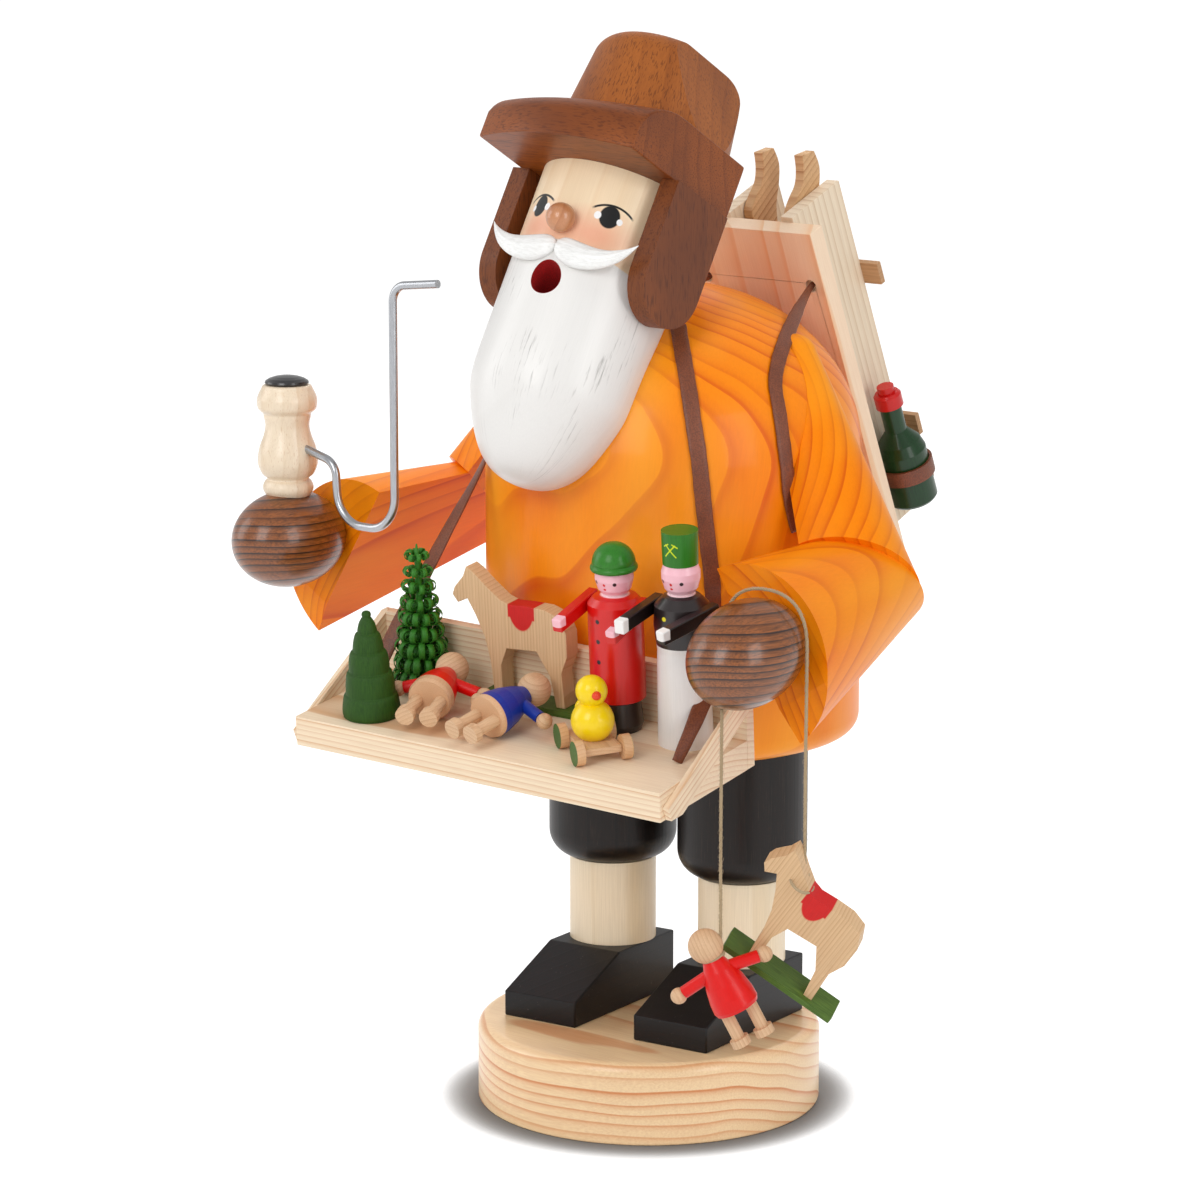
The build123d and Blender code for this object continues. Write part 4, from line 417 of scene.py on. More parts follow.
brace_looks = Looks("brace_pine", 0.5)
colour, _ = brace_looks.wood(
    Vector(TRAY_ORIGIN) + Vector(TRAY_Y) * 120 - Vector(TRAY_Z) * 140, TRAY_X, (0.0, 0.84, 0.54), 2.4, TRAY_PINE, TRAY_LINE, 1.5, 0.9, 0.25
)
brace_looks.colour(colour)
brace_looks.on("tray_braces")

board_looks = Looks("pack_board_pine", 0.45)
colour, _ = board_looks.wood((-60, 60, 300), (1, 0, 0), PACK_Z, 12.0, tone(252, 228, 200), tone(242, 190, 142), 8.0, 0.9, 0.2)
board_looks.set("Specular IOR Level", 0.3)
board_looks.colour(colour)
board_looks.on("pack_board", "pack_floor")

side_looks = Looks("pack_side_pine", 0.5)
colour, _ = side_looks.wood((10, -60, 300), (1, 0, 0), PACK_Z, 4.2, tone(246, 228, 202), tone(212, 182, 146), 3.0, 1.0, 0.25)
side_looks.colour(colour)
side_looks.on("pack_sides")

lath_looks = Looks("lath_wood", 0.55)
colour, _ = lath_looks.wood((0, 300, 200), (0, 1, 0), (1, 0, 0), 2.2, tone(204, 160, 118), tone(160, 112, 72), 1.0, 0.5, 0.5)
lath_looks.colour(colour)
lath_looks.on("pack_laths")

sled_looks = Looks("sled_wood", 0.55)
colour, _ = sled_looks.wood((0, 330, 150), (0, 1, 0), (1, 0, 0), 3.2, tone(226, 184, 136), tone(176, 116, 66), 1.5, 1.0, 0.35)
sled_looks.colour(colour)
sled_looks.on("sled")

# Legs
stocking_looks = Looks("stocking_maple", 0.42, 0.15)
colour, _ = stocking_looks.wood((60, 60, 0), (1, 0, 0), UP, 14.0, tone(250, 232, 202), tone(236, 212, 174), 10.0, 0.6, 0.35, 2.0)
stocking_looks.colour(colour)
stocking_looks.on("stockings", "seat_board", "leg_dowels")

breeches_looks = Looks("breeches_wood", 0.42, 0.08)
colour, at = breeches_looks.wood((40, 90, 0), (1, 0, 0), UP, 6.0, tone(32, 23, 19), tone(16, 11, 10), 4.0, 0.8, 0.5, 2.4, 0.22)
pale = breeches_looks.noise(at, (2.2, 2.2, 0.06), 3.0, 0.6)
colour = breeches_looks.mix(breeches_looks.ramp(pale, ((0.60, 0.0), (0.80, 0.6))), colour, tone(74, 58, 46))
breeches_looks.set("Specular IOR Level", 0.3)
breeches_looks.colour(colour)
breeches_looks.on("breeches")

shoe_looks = Looks("shoe_wood", 0.45, 0.08)
colour, at = shoe_looks.wood((40, 0, -90), (0, 0, 1), (0.12, -0.99, 0), 5.0, tone(24, 20, 22), tone(14, 12, 13), 3.0, 0.7, 0.4, 2.0, 0.25)
speck = shoe_looks.noise(at, (0.8, 0.8, 0.8), 2.0)
colour = shoe_looks.mix(shoe_looks.ramp(speck, ((0.70, 0.0), (0.78, 0.5))), colour, tone(84, 74, 72))
shoe_looks.set("Specular IOR Level", 0.3)
shoe_looks.colour(colour)
shoe_looks.on("shoes")

# Coat and sleeves: orange stained pine with a clear lacquer
ORANGE, ORANGE_LINE = tone(255, 142, 2), tone(222, 94, 0)
coat_looks = Looks("coat_pine", 0.38, 0.12, 0.1)
colour, at = coat_looks.wood((12, 10, 100), (1, 0, 0), (-0.07, 0.16, 1.0), 6.4, ORANGE, ORANGE_LINE, 6.0, 1.0, 0.14, 1.0, 0.08)
sun = coat_looks.noise(at, (0.016, 0.016, 0.006), 2.0)
colour = coat_looks.mix(coat_looks.ramp(sun, ((0.42, 0.0), (0.66, 0.55))), colour, tone(255, 178, 58))
coat_looks.set("Specular IOR Level", 0.22)
coat_looks.colour(colour)
coat_looks.on("coat")


def sleeve(name, origin, x_axis, z_axis, ring, *targets):
    looks = Looks(name, 0.4, 0.06, 0.1)
    colour, at = looks.wood(origin, x_axis, z_axis, ring, tone(252, 138, 2), tone(216, 90, 0), 4.0, 0.95, 0.14, 1.0, 0.08)
    pale = looks.noise(at, (0.02, 0.02, 0.006), 2.0)
    colour = looks.mix(looks.ramp(pale, ((0.42, 0.0), (0.66, 0.5))), colour, tone(255, 172, 44))
    looks.set("Specular IOR Level", 0.12)
    looks.colour(colour)
    looks.on(*targets)


sleeve("left_forearm_pine", (60, -20, 190), (1, 0, 0), (0.1, 1.0, 0.12), 5.2, "left_forearm")
sleeve("right_forearm_pine", (-60, -20, 200), (1, 0, 0), (-0.1, 1.0, 0.12), 5.2, "right_forearm")
sleeve("left_upper_arm_pine", (70, -10, 300), (1, 0, 0), (-0.45, 0.12, 1.0), 5.6, "left_upper_arm")
sleeve("right_upper_arm_pine", (-70, -10, 300), (1, 0, 0), (0.45, 0.12, 1.0), 5.6, "right_upper_arm")


# Hat: brown stained beech with fine flecks along the grain
def beech(name, origin, x_axis, z_axis, light, dark, *targets, fleck=0.75):
    looks = Looks(name, 0.45, 0.06, 0.15)
    colour, at = looks.wood(origin, x_axis, z_axis, 9.0, light, dark, 8.0, 0.45, 0.30, 1.8, 0.14)
    dash = looks.noise(at, (1.5, 1.5, 0.13), 1.0, 0.5)
    marks = looks.ramp(dash, ((0.56, 0.0), (0.64, fleck)))
    colour = looks.mix(marks, colour, tuple(c * 0.42 for c in dark))
    wide = looks.noise(at, (0.03, 0.03, 0.015), 2.0)
    colour = looks.mix(looks.ramp(wide, ((0.40, 0.0), (0.70, 0.5))), colour, tuple(c * 0.8 for c in dark))
    looks.colour(colour)
    looks.set("Specular IOR Level", 0.3)
    looks.on(*targets)


beech("crown_beech", (60, 40, 380), (1, 0, 0), (0.30, 0.40, 0.87), tone(172, 98, 40), tone(128, 66, 26), "hat_crown", fleck=0.55)
beech("brim_beech", (0, 120, 440), (0, 0, 1), (1.0, 0.05, 0.10), tone(150, 80, 32), tone(98, 46, 18), "hat_brim", fleck=0.55)
beech("flap_beech", (160, -80, 380), (0, 1, 0), (0.0, 0.42, 0.90), tone(132, 72, 34), tone(90, 44, 20), "left_ear_flap", "right_ear_flap", fleck=0.6)

# The brim: its top falls in a round to a thin lip at the front and the back
BRIM_SIDE, BRIM_FOOT, BRIM_TOP = 44.9, 77.05, 103.9


def brim_edge(x, front):
    """The outline's distance from the crown at one place across the brim."""
    share = (x / BRIM_SIDE) ** 2
    return -63.9 + 10 * share if front else 47.9 - 28 * share


def brim_top(y, front_end, back_end):
    """The height of the brim's top at one place."""
    if y < -26:
        reach = (-26 - y) / (-26 - front_end)
        return BRIM_TOP - 19.5 * (1 - math.sqrt(max(0.0, 1 - (0.97 * reach) ** 2.2)))
    if y > 22:
        reach = (y - 22) / max(6.0, back_end - 22)
        return BRIM_TOP - 17.0 * (1 - math.sqrt(max(0.0, 1 - min(1.0, 0.95 * reach) ** 2.2)))
    return BRIM_TOP


def in_head(x, y, z):
    return Vector(HEAD_ORIGIN) * MM + (Vector((1, 0, 0)) * x + Vector(HEAD_Y) * y + Vector(HEAD_Z) * z) * MM


brim_rings = []
for i in range(-24, 25):
    x = BRIM_SIDE * i / 24
    front_end, back_end = brim_edge(x, True), brim_edge(x, False)
    top = []
    for j in range(41):
        y = front_end + (back_end - front_end) * j / 40
        top.append((y, brim_top(y, front_end, back_end)))
    ring = [in_head(x, y, z) for y, z in top]
    ring += [in_head(x, back_end, BRIM_FOOT), in_head(x, (front_end + back_end) / 2, BRIM_FOOT), in_head(x, front_end, BRIM_FOOT)]
    brim_rings.append(ring)
brim_piece = mesh_piece("hat_brim_turned", *tube_rings(brim_rings))
brim_bevel = brim_piece.modifiers.new("edge", "BEVEL")
brim_bevel.width, brim_bevel.segments, brim_bevel.limit_method = 0.9 * MM, 3, "ANGLE"
brim_bevel.angle_limit = math.radians(40)
brim_piece.modifiers.new("shade", "WEIGHTED_NORMAL").weight = 60
brim_piece.data.materials.clear()
brim_piece.data.materials.append(nodes["hat_brim"].data.materials[0])
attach(brim_piece, "figure")
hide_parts("hat_brim")

# Head: face paint, white beard, eyes and the red lining of the mouth
head_looks = Looks("head_paint", 0.34, 0.12, 0.12)
skin, at = head_looks.wood((60, -20, 380), (1, 0, 0), HEAD_Z, 12.0, tone(252, 228, 192), tone(238, 204, 160), 6.0, 0.5, 0.18, 2.0, 0.06)
face = head_looks.here(HEAD_ORIGIN, FACE_X, HEAD_Z)
fx, fy, fz = head_looks.parts(face)
round_face = head_looks.math("MULTIPLY", head_looks.math("ARCTAN2", fx, head_looks.math("MULTIPLY", fy, -1.0)), 37.5)


def spot(looks, u, v, centre, size, edge=0.12):
    """A soft-edged ellipse in a surface's own two directions."""
    du = looks.math("DIVIDE", looks.math("SUBTRACT", u, centre[0]), size[0])
    dv = looks.math("DIVIDE", looks.math("SUBTRACT", v, centre[1]), size[1])
    return looks.within(looks.vector("LENGTH", looks.joined(du, dv, 0.0)), 1.0, edge)


for side in (-1, 1):
    cheek = spot(head_looks, round_face, fz, (side * 15.0, 44.0), (15.0, 8.5), 0.75)
    skin = head_looks.mix(head_looks.math("MULTIPLY", cheek, 0.85), skin, tone(240, 168, 136))
beard, _ = head_looks.wood((20, -60, 300), (1, 0, 0), HEAD_Z, 30.0, tone(236, 234, 231), tone(222, 219, 215), 3.0, 0.3, 0.10, 1.5, 0.06)
streak_at = head_looks.joined(round_face, fz, 0.0)
streak = head_looks.noise(streak_at, (0.55, 0.045, 1.0), 3.0, 0.7)
patch = head_looks.noise(streak_at, (0.035, 0.02, 1.0), 1.0)
streak = head_looks.math(
    "MULTIPLY", head_looks.ramp(streak, ((0.56, 0.0), (0.72, 0.75))), head_looks.ramp(patch, ((0.53, 0.0), (0.62, 1.0)))
)
beard = head_looks.mix(streak, beard, tone(150, 146, 142))
edge_line = head_looks.math(
    "ADD",
    30.5,
    head_looks.math("MULTIPLY", 7.0, spot(head_looks, round_face, 0.0, (0.0, 0.0), (26.0, 1.0), 0.6)),
)
wobble = head_looks.noise(streak_at, (0.35, 0.1, 1.0), 2.0)
edge_line = head_looks.math("ADD", edge_line, head_looks.math("MULTIPLY", wobble, 1.6))
is_beard = head_looks.within(head_looks.math("SUBTRACT", fz, edge_line), 0.0, 0.25)
colour = head_looks.mix(is_beard, skin, beard)
BLACK, WHITE = tone(8, 6, 7), tone(250, 250, 250)
for side in (-1, 1):
    eye = side * math.radians(28.8) * 37.5
    pupil = spot(head_looks, round_face, fz, (eye, 54.0), (4.6, 5.2), 0.05)
    colour = head_looks.mix(pupil, colour, BLACK)
    lid = head_looks.vector("DISTANCE", head_looks.joined(round_face, fz, 0.0), (eye + side * 0.9, 43.9, 0.0))
    lid = head_looks.within(head_looks.math("ABSOLUTE", head_looks.math("SUBTRACT", lid, 15.5)), 0.5, 0.14)
    reach = spot(head_looks, round_face, fz, (eye + side * 0.7, 58.0), (9.6, 5.2), 0.10)
    colour = head_looks.mix(head_looks.math("MULTIPLY", lid, reach), colour, BLACK)
    inner = spot(head_looks, round_face, fz, (eye - side * 5.4, 53.4), (1.6, 1.8), 0.1)
    outer = spot(head_looks, round_face, fz, (eye + side * 4.9, 53.2), (1.35, 1.5), 0.1)
    colour = head_looks.mix(inner, colour, WHITE)
    colour = head_looks.mix(outer, colour, WHITE)
bore = head_looks.here((6.5118, -79.3326, 393.4187), (0.99883, 0.02904, -0.03882), (-0.04848, 0.59843, -0.79971))
bx, by, bz = head_looks.parts(bore)
bore_reach = head_looks.vector("LENGTH", head_looks.joined(bx, by, 0.0))
in_mouth = head_looks.within(bore_reach, 7.4, 0.06)
flock = head_looks.noise(bore, (2.6, 2.6, 2.6), 3.0, 0.7)
red = head_looks.mix(head_looks.ramp(flock, ((0.35, 0.0), (0.65, 1.0))), tone(112, 2, 8), tone(176, 14, 18))
colour = head_looks.mix(in_mouth, colour, red)
head_looks.colour(colour)
head_looks.set("Roughness", head_looks.mix(in_mouth, (0.34, 0.34, 0.34), (0.95, 0.95, 0.95)))
head_looks.set("Coat Weight", head_looks.mix(in_mouth, (0.12, 0.12, 0.12), (0.0, 0.0, 0.0)))
head_looks.set("Specular IOR Level", 0.4)
head_looks.on("head")

nose_looks = Looks("nose_wood", 0.28, 0.5, 0.08)
colour, _ = nose_looks.wood((20, -60, 418), (1, 0, 0), HEAD_Z, 5.0, tone(206, 142, 98), tone(176, 110, 72), 3.0, 0.6, 0.3, 2.2)
nose_looks.colour(colour)
nose_looks.on("nose")

# Hands: dark wood with brushed, raised rings
for name, origin in (("left_hand", (150, -90, 190)), ("right_hand", (-120, -90, 205))):
    looks = Looks(name + "_wood", 0.3, 0.4, 0.12)
    at = looks.here(origin, (0, 0, 1), (0.25, 1.0, 0.28 if name == "left_hand" else 0.1))
    late = looks.rings(at, 3.4, 5.0, 2.2)
    thin = looks.fibres(at, 0.06, 1.6)
    colour = looks.mix(looks.math("MULTIPLY", late, 1.5, clamp=True), tone(158, 92, 46), tone(44, 22, 10))
    colour = looks.mix(looks.math("MULTIPLY", looks.ramp(thin, ((0.35, 0.0), (0.70, 1.0))), 0.75), colour, tone(52, 28, 16))
    looks.colour(colour)
    looks.bump(looks.math("ADD", late, looks.math("MULTIPLY", thin, 0.6)), 0.45, 0.35)
    looks.on(name)

# Pipe
bowl_looks = Looks("pipe_maple", 0.36, 0.3, 0.1)
colour, at = bowl_looks.wood((-110, -80, 280), (1, 0, 0), UP, 7.0, tone(244, 226, 200), tone(222, 194, 158), 4.0, 0.6, 0.3, 2.4)
fleck = bowl_looks.noise(at, (1.8, 1.8, 0.3), 1.0)
colour = bowl_looks.mix(bowl_looks.ramp(fleck, ((0.64, 0.0), (0.70, 0.4))), colour, tone(196, 152, 112))
bowl_looks.colour(colour)
bowl_looks.on("pipe_bowl")

lid_looks = Looks("black_lid", 0.3, 0.4, 0.1)
lid_at = lid_looks.here((-135.4, -98.1, 334.5))
fine = lid_looks.noise(lid_at, (0.5, 2.2, 2.2), 3.0)
lid_looks.colour(lid_looks.mix(fine, tone(22, 22, 24), tone(44, 42, 44)))
lid_looks.bump(fine, 0.15, 0.1)
lid_looks.on("pipe_lid")

wire_looks = Looks("steel_wire", 0.28, metallic=1.0)
wire_at = wire_looks.here((-135.4, -98.1, 281.5))
drawn = wire_looks.noise(wire_at, (3.0, 3.0, 0.25), 3.0, 0.6)
wire_looks.colour(wire_looks.mix(drawn, tone(150, 152, 156), tone(196, 198, 202)))
wire_looks.bump(drawn, 0.08, 0.05)
wire_looks.on("pipe_stem")

dish_looks = Looks("dish_brass", 0.34, metallic=1.0)
dish_at = dish_looks.here((0, 16.8, 185))
hammer = dish_looks.noise(dish_at, (0.3, 0.3, 0.3), 3.0)
dish_looks.colour(dish_looks.mix(hammer, tone(196, 158, 84), tone(222, 190, 120)))
dish_looks.bump(hammer, 0.1, 0.2)
dish_looks.on("incense_dish")

cone_looks = Looks("incense_clay", 0.9)
cone_at = cone_looks.here((0, 16.8, 185))
grit = cone_looks.noise(cone_at, (1.5, 1.5, 1.5), 4.0, 0.7)
cone_looks.colour(cone_looks.mix(grit, tone(58, 40, 32), tone(104, 76, 60)))
cone_looks.bump(grit, 0.5, 0.3)
cone_looks.on("incense_cone")


# Painted toys: a paint's base colour with the grain showing through
def paint(name, origin, x_axis, z_axis, light, dark, roughness=0.38, coat=0.2, fibre=0.5, across=2.0):
    looks = Looks(name, roughness, coat)
    at = looks.here(origin, x_axis, z_axis)
    thin = looks.fibres(at, 0.08, across)
    worn = looks.noise(at, (0.15, 0.15, 0.1), 2.0)
    share = looks.math("MULTIPLY", looks.ramp(thin, ((0.32, 0.0), (0.70, 1.0))), fibre)
    share = looks.math("ADD", share, looks.math("MULTIPLY", worn, 0.3), clamp=True)
    looks.bump(thin, 0.16, 0.15)
    looks.set("Specular IOR Level", 0.3)
    return looks, at, looks.mix(share, light, dark)


for name, hue, target in (
    ("tree_green", (tone(46, 84, 24), tone(28, 56, 14)), "turned_tree"),
    ("soldier_hat_green", (tone(52, 130, 36), tone(32, 92, 22)), "soldier_hat"),
):
    looks, at, colour = paint(name, (0, -100, 200), TRAY_X, TRAY_Z, *hue)
    looks.colour(colour)
    looks.on(target)

stand_looks, at, colour = paint("stand_green", (0, -100, 200), TRAY_Y, TRAY_X, tone(96, 124, 52), tone(50, 74, 24), 0.5, 0.0, 0.8)
stand_looks.colour(colour)
stand_looks.on("toy_horse_stand")
stand_looks, at, colour = paint("hung_stand_green", HUNG_HORSE[0], HUNG_HORSE[2], HUNG_HORSE[1], tone(98, 128, 54), tone(52, 78, 26), 0.5, 0.0, 0.8)
stand_looks.colour(colour)
stand_looks.on("hanging_horse_stand")

for name, hue, target, place, x_axis, z_axis, bare in (
    ("doll_red", (tone(226, 16, 8), tone(194, 8, 6)), "red_doll_body", *RED_DOLL, -6.5),
    ("doll_blue", (tone(30, 58, 158), tone(18, 38, 122)), "blue_doll_body", *BLUE_DOLL, -9.5),
    ("hung_doll_red", (tone(228, 16, 8), tone(196, 8, 6)), "hanging_doll_dress", HUNG_DOLL_ORIGIN, HUNG_DOLL_X, HUNG_DOLL_Y, None),
):
    looks, at, colour = paint(name, place, x_axis, z_axis, *hue, 0.38, 0.15, 0.3)
    if bare is not None:
        x, y, z = looks.parts(looks.here(place, x_axis, z_axis))
        hem = looks.mix(looks.fibres(at, 0.08, 2.4), tone(232, 192, 152), tone(196, 146, 108))
        colour = looks.mix(looks.within(z, bare, 0.1), colour, hem)
    looks.colour(colour)
    looks.on(target)


def toy_wood(name, origin, x_axis, z_axis, ring, *targets):
    looks = Looks(name, 0.55)
    colour, at = looks.wood(origin, x_axis, z_axis, ring, tone(228, 190, 150), tone(192, 142, 104), 0.8, 0.7, 0.40, 3.0, 0.2)
    looks.colour(colour)
    looks.on(*targets)
    return looks, at, colour


toy_wood("lying_doll_maple", (0, -160, 150), (1, 0, 0), (0.1, 0.95, 0.2), 1.8, "lying_doll_wood")
toy_wood("hung_doll_maple", (100, -140, 60), HUNG_DOLL_X, HUNG_DOLL_Y, 1.8, "hanging_doll_wood")
toy_wood("cart_wood", (60, -110, 150), TRAY_Z, CART_X, 1.6, "duck_cart")


# Horses: fine upright grain, a red saddle over the back
def horse(name, place, length, target, seat):
    looks = Looks(name, 0.55)
    colour, _ = looks.wood(
        Vector(place[0]) + Vector(place[1]) * 300, place[2], Vector(place[2]).cross(Vector(place[1])), 1.7,
        tone(228, 192, 148), tone(196, 150, 106), 0.8, 0.85, 0.35, 2.6, 0.25,
    )
    at = looks.here(*place)
    x, y, z = looks.parts(at)
    along = length * seat
    saddle = spot(looks, x, y, (along, HORSE_HEIGHT * 0.765), (length * 0.115, HORSE_HEIGHT * 0.20), 0.035)
    straight = looks.within(looks.math("ABSOLUTE", looks.math("SUBTRACT", x, along)), length * 0.115, 0.15)
    high = looks.within(looks.math("MULTIPLY", y, -1.0), -HORSE_HEIGHT * 0.66, 0.3)
    saddle = looks.math("MAXIMUM", saddle, looks.math("MULTIPLY", straight, high))
    streak = looks.noise(at, (2.2, 0.2, 2.2), 3.0)
    looks.colour(looks.mix(saddle, colour, looks.mix(streak, tone(216, 14, 8), tone(186, 6, 6))))
    looks.on(target)


horse("toy_horse_pine", TOY_HORSE, TOY_HORSE_LENGTH, "toy_horse", 0.60)
horse("hung_horse_pine", HUNG_HORSE, HORSE_LENGTH, "hanging_horse", 0.525)


# Soldier and miner
def figure(name, origin, neck, bands, face_colour, target, buttons, button_colour):
    """A painted figure: bands are (height it reaches, colour) from the foot up, then the head."""
    looks = Looks(name, 0.34, 0.25)
    at = looks.here(origin, TRAY_X, TRAY_Z)
    x, y, z = looks.parts(at)
    thin = looks.fibres(at, 0.08, 2.0)
    colour = face_colour
    for top, shade in reversed(bands):
        shade = looks.mix(looks.math("MULTIPLY", thin, 0.5), shade, tuple(c * 0.7 for c in shade))
        colour = looks.mix(looks.within(z, top, 0.08), colour, shade)
    ring = looks.within(looks.math("ABSOLUTE", looks.math("SUBTRACT", z, neck + 0.4)), 0.55, 0.1)
    colour = looks.mix(ring, colour, tone(252, 226, 230))
    arc = looks.math("ARCTAN2", x, looks.math("MULTIPLY", y, -1.0))
    face_arc = looks.math("MULTIPLY", arc, 8.2)
    for place, size, shade in (
        ((-4.9, neck + 6.6), (0.85, 0.85), tone(40, 12, 18)),
        ((4.9, neck + 6.6), (0.85, 0.85), tone(40, 12, 18)),
        ((0.0, neck + 6.0), (0.65, 0.65), tone(222, 24, 28)),
        ((0.0, neck + 3.9), (0.75, 0.5), tone(222, 24, 28)),
    ):
        colour = looks.mix(spot(looks, face_arc, z, place, size, 0.12), colour, shade)
    body_arc = looks.math("MULTIPLY", arc, 12.0)
    for level in buttons:
        colour = looks.mix(spot(looks, body_arc, z, (-1.5, neck - level), (1.05, 1.0), 0.12), colour, button_colour)
    looks.colour(colour)
    looks.bump(thin, 0.12, 0.15)
    looks.on(target)


PINK = tone(248, 190, 202)
SOLDIER_RED = tone(224, 16, 8)
figure("soldier_paint", SOLDIER_ORIGIN, SOLDIER_NECK, ((14.4, tone(44, 32, 28)), (SOLDIER_NECK, SOLDIER_RED)),
       PINK, "soldier_figure", (9.8, 19.0, 28.4, 37.5), tone(20, 14, 14))
figure("miner_paint", MINER_ORIGIN, MINER_NECK, ((46.0, tone(240, 236, 234)), (MINER_NECK, tone(38, 28, 28))),
       PINK, "miner_figure", (8.7, 15.0), tone(232, 214, 20))


# The miner's hat with crossed hammers
miner_hat_looks, at, colour = paint("miner_hat_green", MINER_ORIGIN, TRAY_X, TRAY_Z, tone(48, 124, 30), tone(32, 92, 20))
x, y, z = miner_hat_looks.parts(at)
arc = miner_hat_looks.math("MULTIPLY", miner_hat_looks.math("ARCTAN2", x, miner_hat_looks.math("MULTIPLY", y, -1.0)), 7.8)
flat = miner_hat_looks.joined(arc, z, 0.0)
EMBLEM = MINER_NECK + 17.0 * 0.8 + 7.5


def stroke(looks, flat, start, end, width):
    """A painted line between two places on a flat."""
    a, b = Vector((*start, 0.0)), Vector((*end, 0.0))
    run = b - a
    off = looks.vector("SUBTRACT", flat, tuple(a))
    share = looks.math("DIVIDE", looks.vector("DOT_PRODUCT", off, tuple(run)), run.length_squared, clamp=True)
    node = looks.tree.nodes.new("ShaderNodeVectorMath")
    node.operation = "SCALE"
    looks.put(node.inputs[0], tuple(run))
    looks.put(node.inputs["Scale"], share)
    return looks.within(looks.vector("DISTANCE", off, node.outputs[0]), width, 0.1)


for start, end in (
    ((-2.6, -2.6), (2.2, 2.6)), ((2.6, -2.6), (-2.2, 2.6)),
    ((1.0, 3.0), (3.3, 1.7)), ((-1.0, 3.0), (-3.3, 1.7)),
):
    line = stroke(
        miner_hat_looks, flat, (start[0], EMBLEM + start[1]), (end[0], EMBLEM + end[1]), 0.28
    )
    colour = miner_hat_looks.mix(line, colour, tone(206, 222, 20))
miner_hat_looks.colour(colour)
miner_hat_looks.on("miner_hat")

# Duck with its red beak, and the wheels with green outer faces
duck_looks, at, colour = paint("duck_yellow", CART_ORIGIN, CART_X, TRAY_Z, tone(252, 220, 18), tone(240, 196, 8), 0.32, 0.35, 0.25)
x, y, z = duck_looks.parts(at)
beak = duck_looks.vector("DISTANCE", at, (7.0, 0.0, 1.5 + 19.0 * 0.42 + 19.0 * 0.72))
duck_looks.colour(duck_looks.mix(duck_looks.within(beak, 2.06, 0.03), colour, tone(226, 62, 30)))
duck_looks.on("duck")
wheel_looks = Looks("wheel_wood", 0.5)
colour, _ = wheel_looks.wood((60, -110, 150), TRAY_Z, CART_X, 1.6, tone(226, 182, 138), tone(198, 146, 102), 0.8, 0.6, 0.35, 3.0)
at = wheel_looks.here(CART_ORIGIN, CART_X, TRAY_Z)
x, y, z = wheel_looks.parts(at)
outer = wheel_looks.within(wheel_looks.math("MULTIPLY", wheel_looks.math("ABSOLUTE", y), -1.0), -12.72, 0.05)
green = wheel_looks.mix(wheel_looks.noise(at, (0.8, 0.8, 0.8), 3.0), tone(78, 116, 56), tone(48, 82, 34))
wheel_looks.colour(wheel_looks.mix(outer, colour, green))
wheel_looks.on("duck_left_axle", "duck_right_axle")

# Bottle
bottle_looks, at, colour = paint("bottle_paint", BOTTLE_ORIGIN, (1, 0, 0), BOTTLE_Z, tone(22, 66, 30), tone(12, 42, 18), 0.34, 0.3, 0.6)
x, y, z = bottle_looks.parts(at)
colour = bottle_looks.mix(bottle_looks.within(z, 51.3, 0.1), tone(198, 26, 24), colour)
bottle_looks.colour(colour)
bottle_looks.on("bottle")

# Leather
leather_looks = Looks("brown_leather", 0.48, 0.1, 0.3)
at = leather_looks.here((0, 0, 0))
pebble = leather_looks.tree.nodes.new("ShaderNodeTexVoronoi")
leather_looks.put(pebble.inputs["Vector"], at)
leather_looks.put(pebble.inputs["Scale"], 1.6)
blotch = leather_looks.noise(at, (0.12, 0.12, 0.12), 3.0)
colour = leather_looks.mix(blotch, tone(146, 80, 48), tone(106, 54, 32))
colour = leather_looks.mix(leather_looks.ramp(pebble.outputs["Distance"], ((0.25, 0.0), (0.75, 0.45))), colour, tone(58, 28, 20))
leather_looks.colour(colour)
leather_looks.bump(leather_looks.math("MULTIPLY", pebble.outputs["Distance"], -1.0), 0.5, 0.18)
leather_looks.on("bottle_strap")

# Jute
jute_looks = Looks("jute", 0.9, sheen=0.2)
at = jute_looks.here((0, 0, 0))
hairs = jute_looks.noise(at, (3.5, 3.5, 1.2), 4.0, 0.7)
patch = jute_looks.noise(at, (0.2, 0.2, 0.12), 2.0)
colour = jute_looks.mix(hairs, tone(190, 166, 130), tone(122, 98, 70))
colour = jute_looks.mix(jute_looks.math("MULTIPLY", patch, 0.35), colour, tone(212, 194, 160))
jute_looks.colour(colour)
jute_looks.bump(hairs, 0.5, 0.12)


def knot(place, size=1.5):
    """A small overhand knot of the same twine."""
    line = []
    for i in range(49):
        turn = 2 * math.pi * i / 48
        line.append(place + Vector((
            math.sin(turn) + 2 * math.sin(2 * turn), math.cos(turn) - 2 * math.cos(2 * turn), -1.4 * math.sin(3 * turn)
        )) * size / 3 * MM)
    return tube(line, 0.00062, 8)


def neck_loop(place, x_axis, y_axis, size):
    """A round of twine about a neck."""
    x_axis, y_axis = Vector(x_axis).normalized(), Vector(y_axis).normalized()
    line = []
    for i in range(41):
        turn = 2 * math.pi * i / 40
        line.append(place + (x_axis * math.cos(turn) * size[0] + y_axis * math.sin(turn) * size[1]) * MM)
    return tube(line, 0.0006, 8)


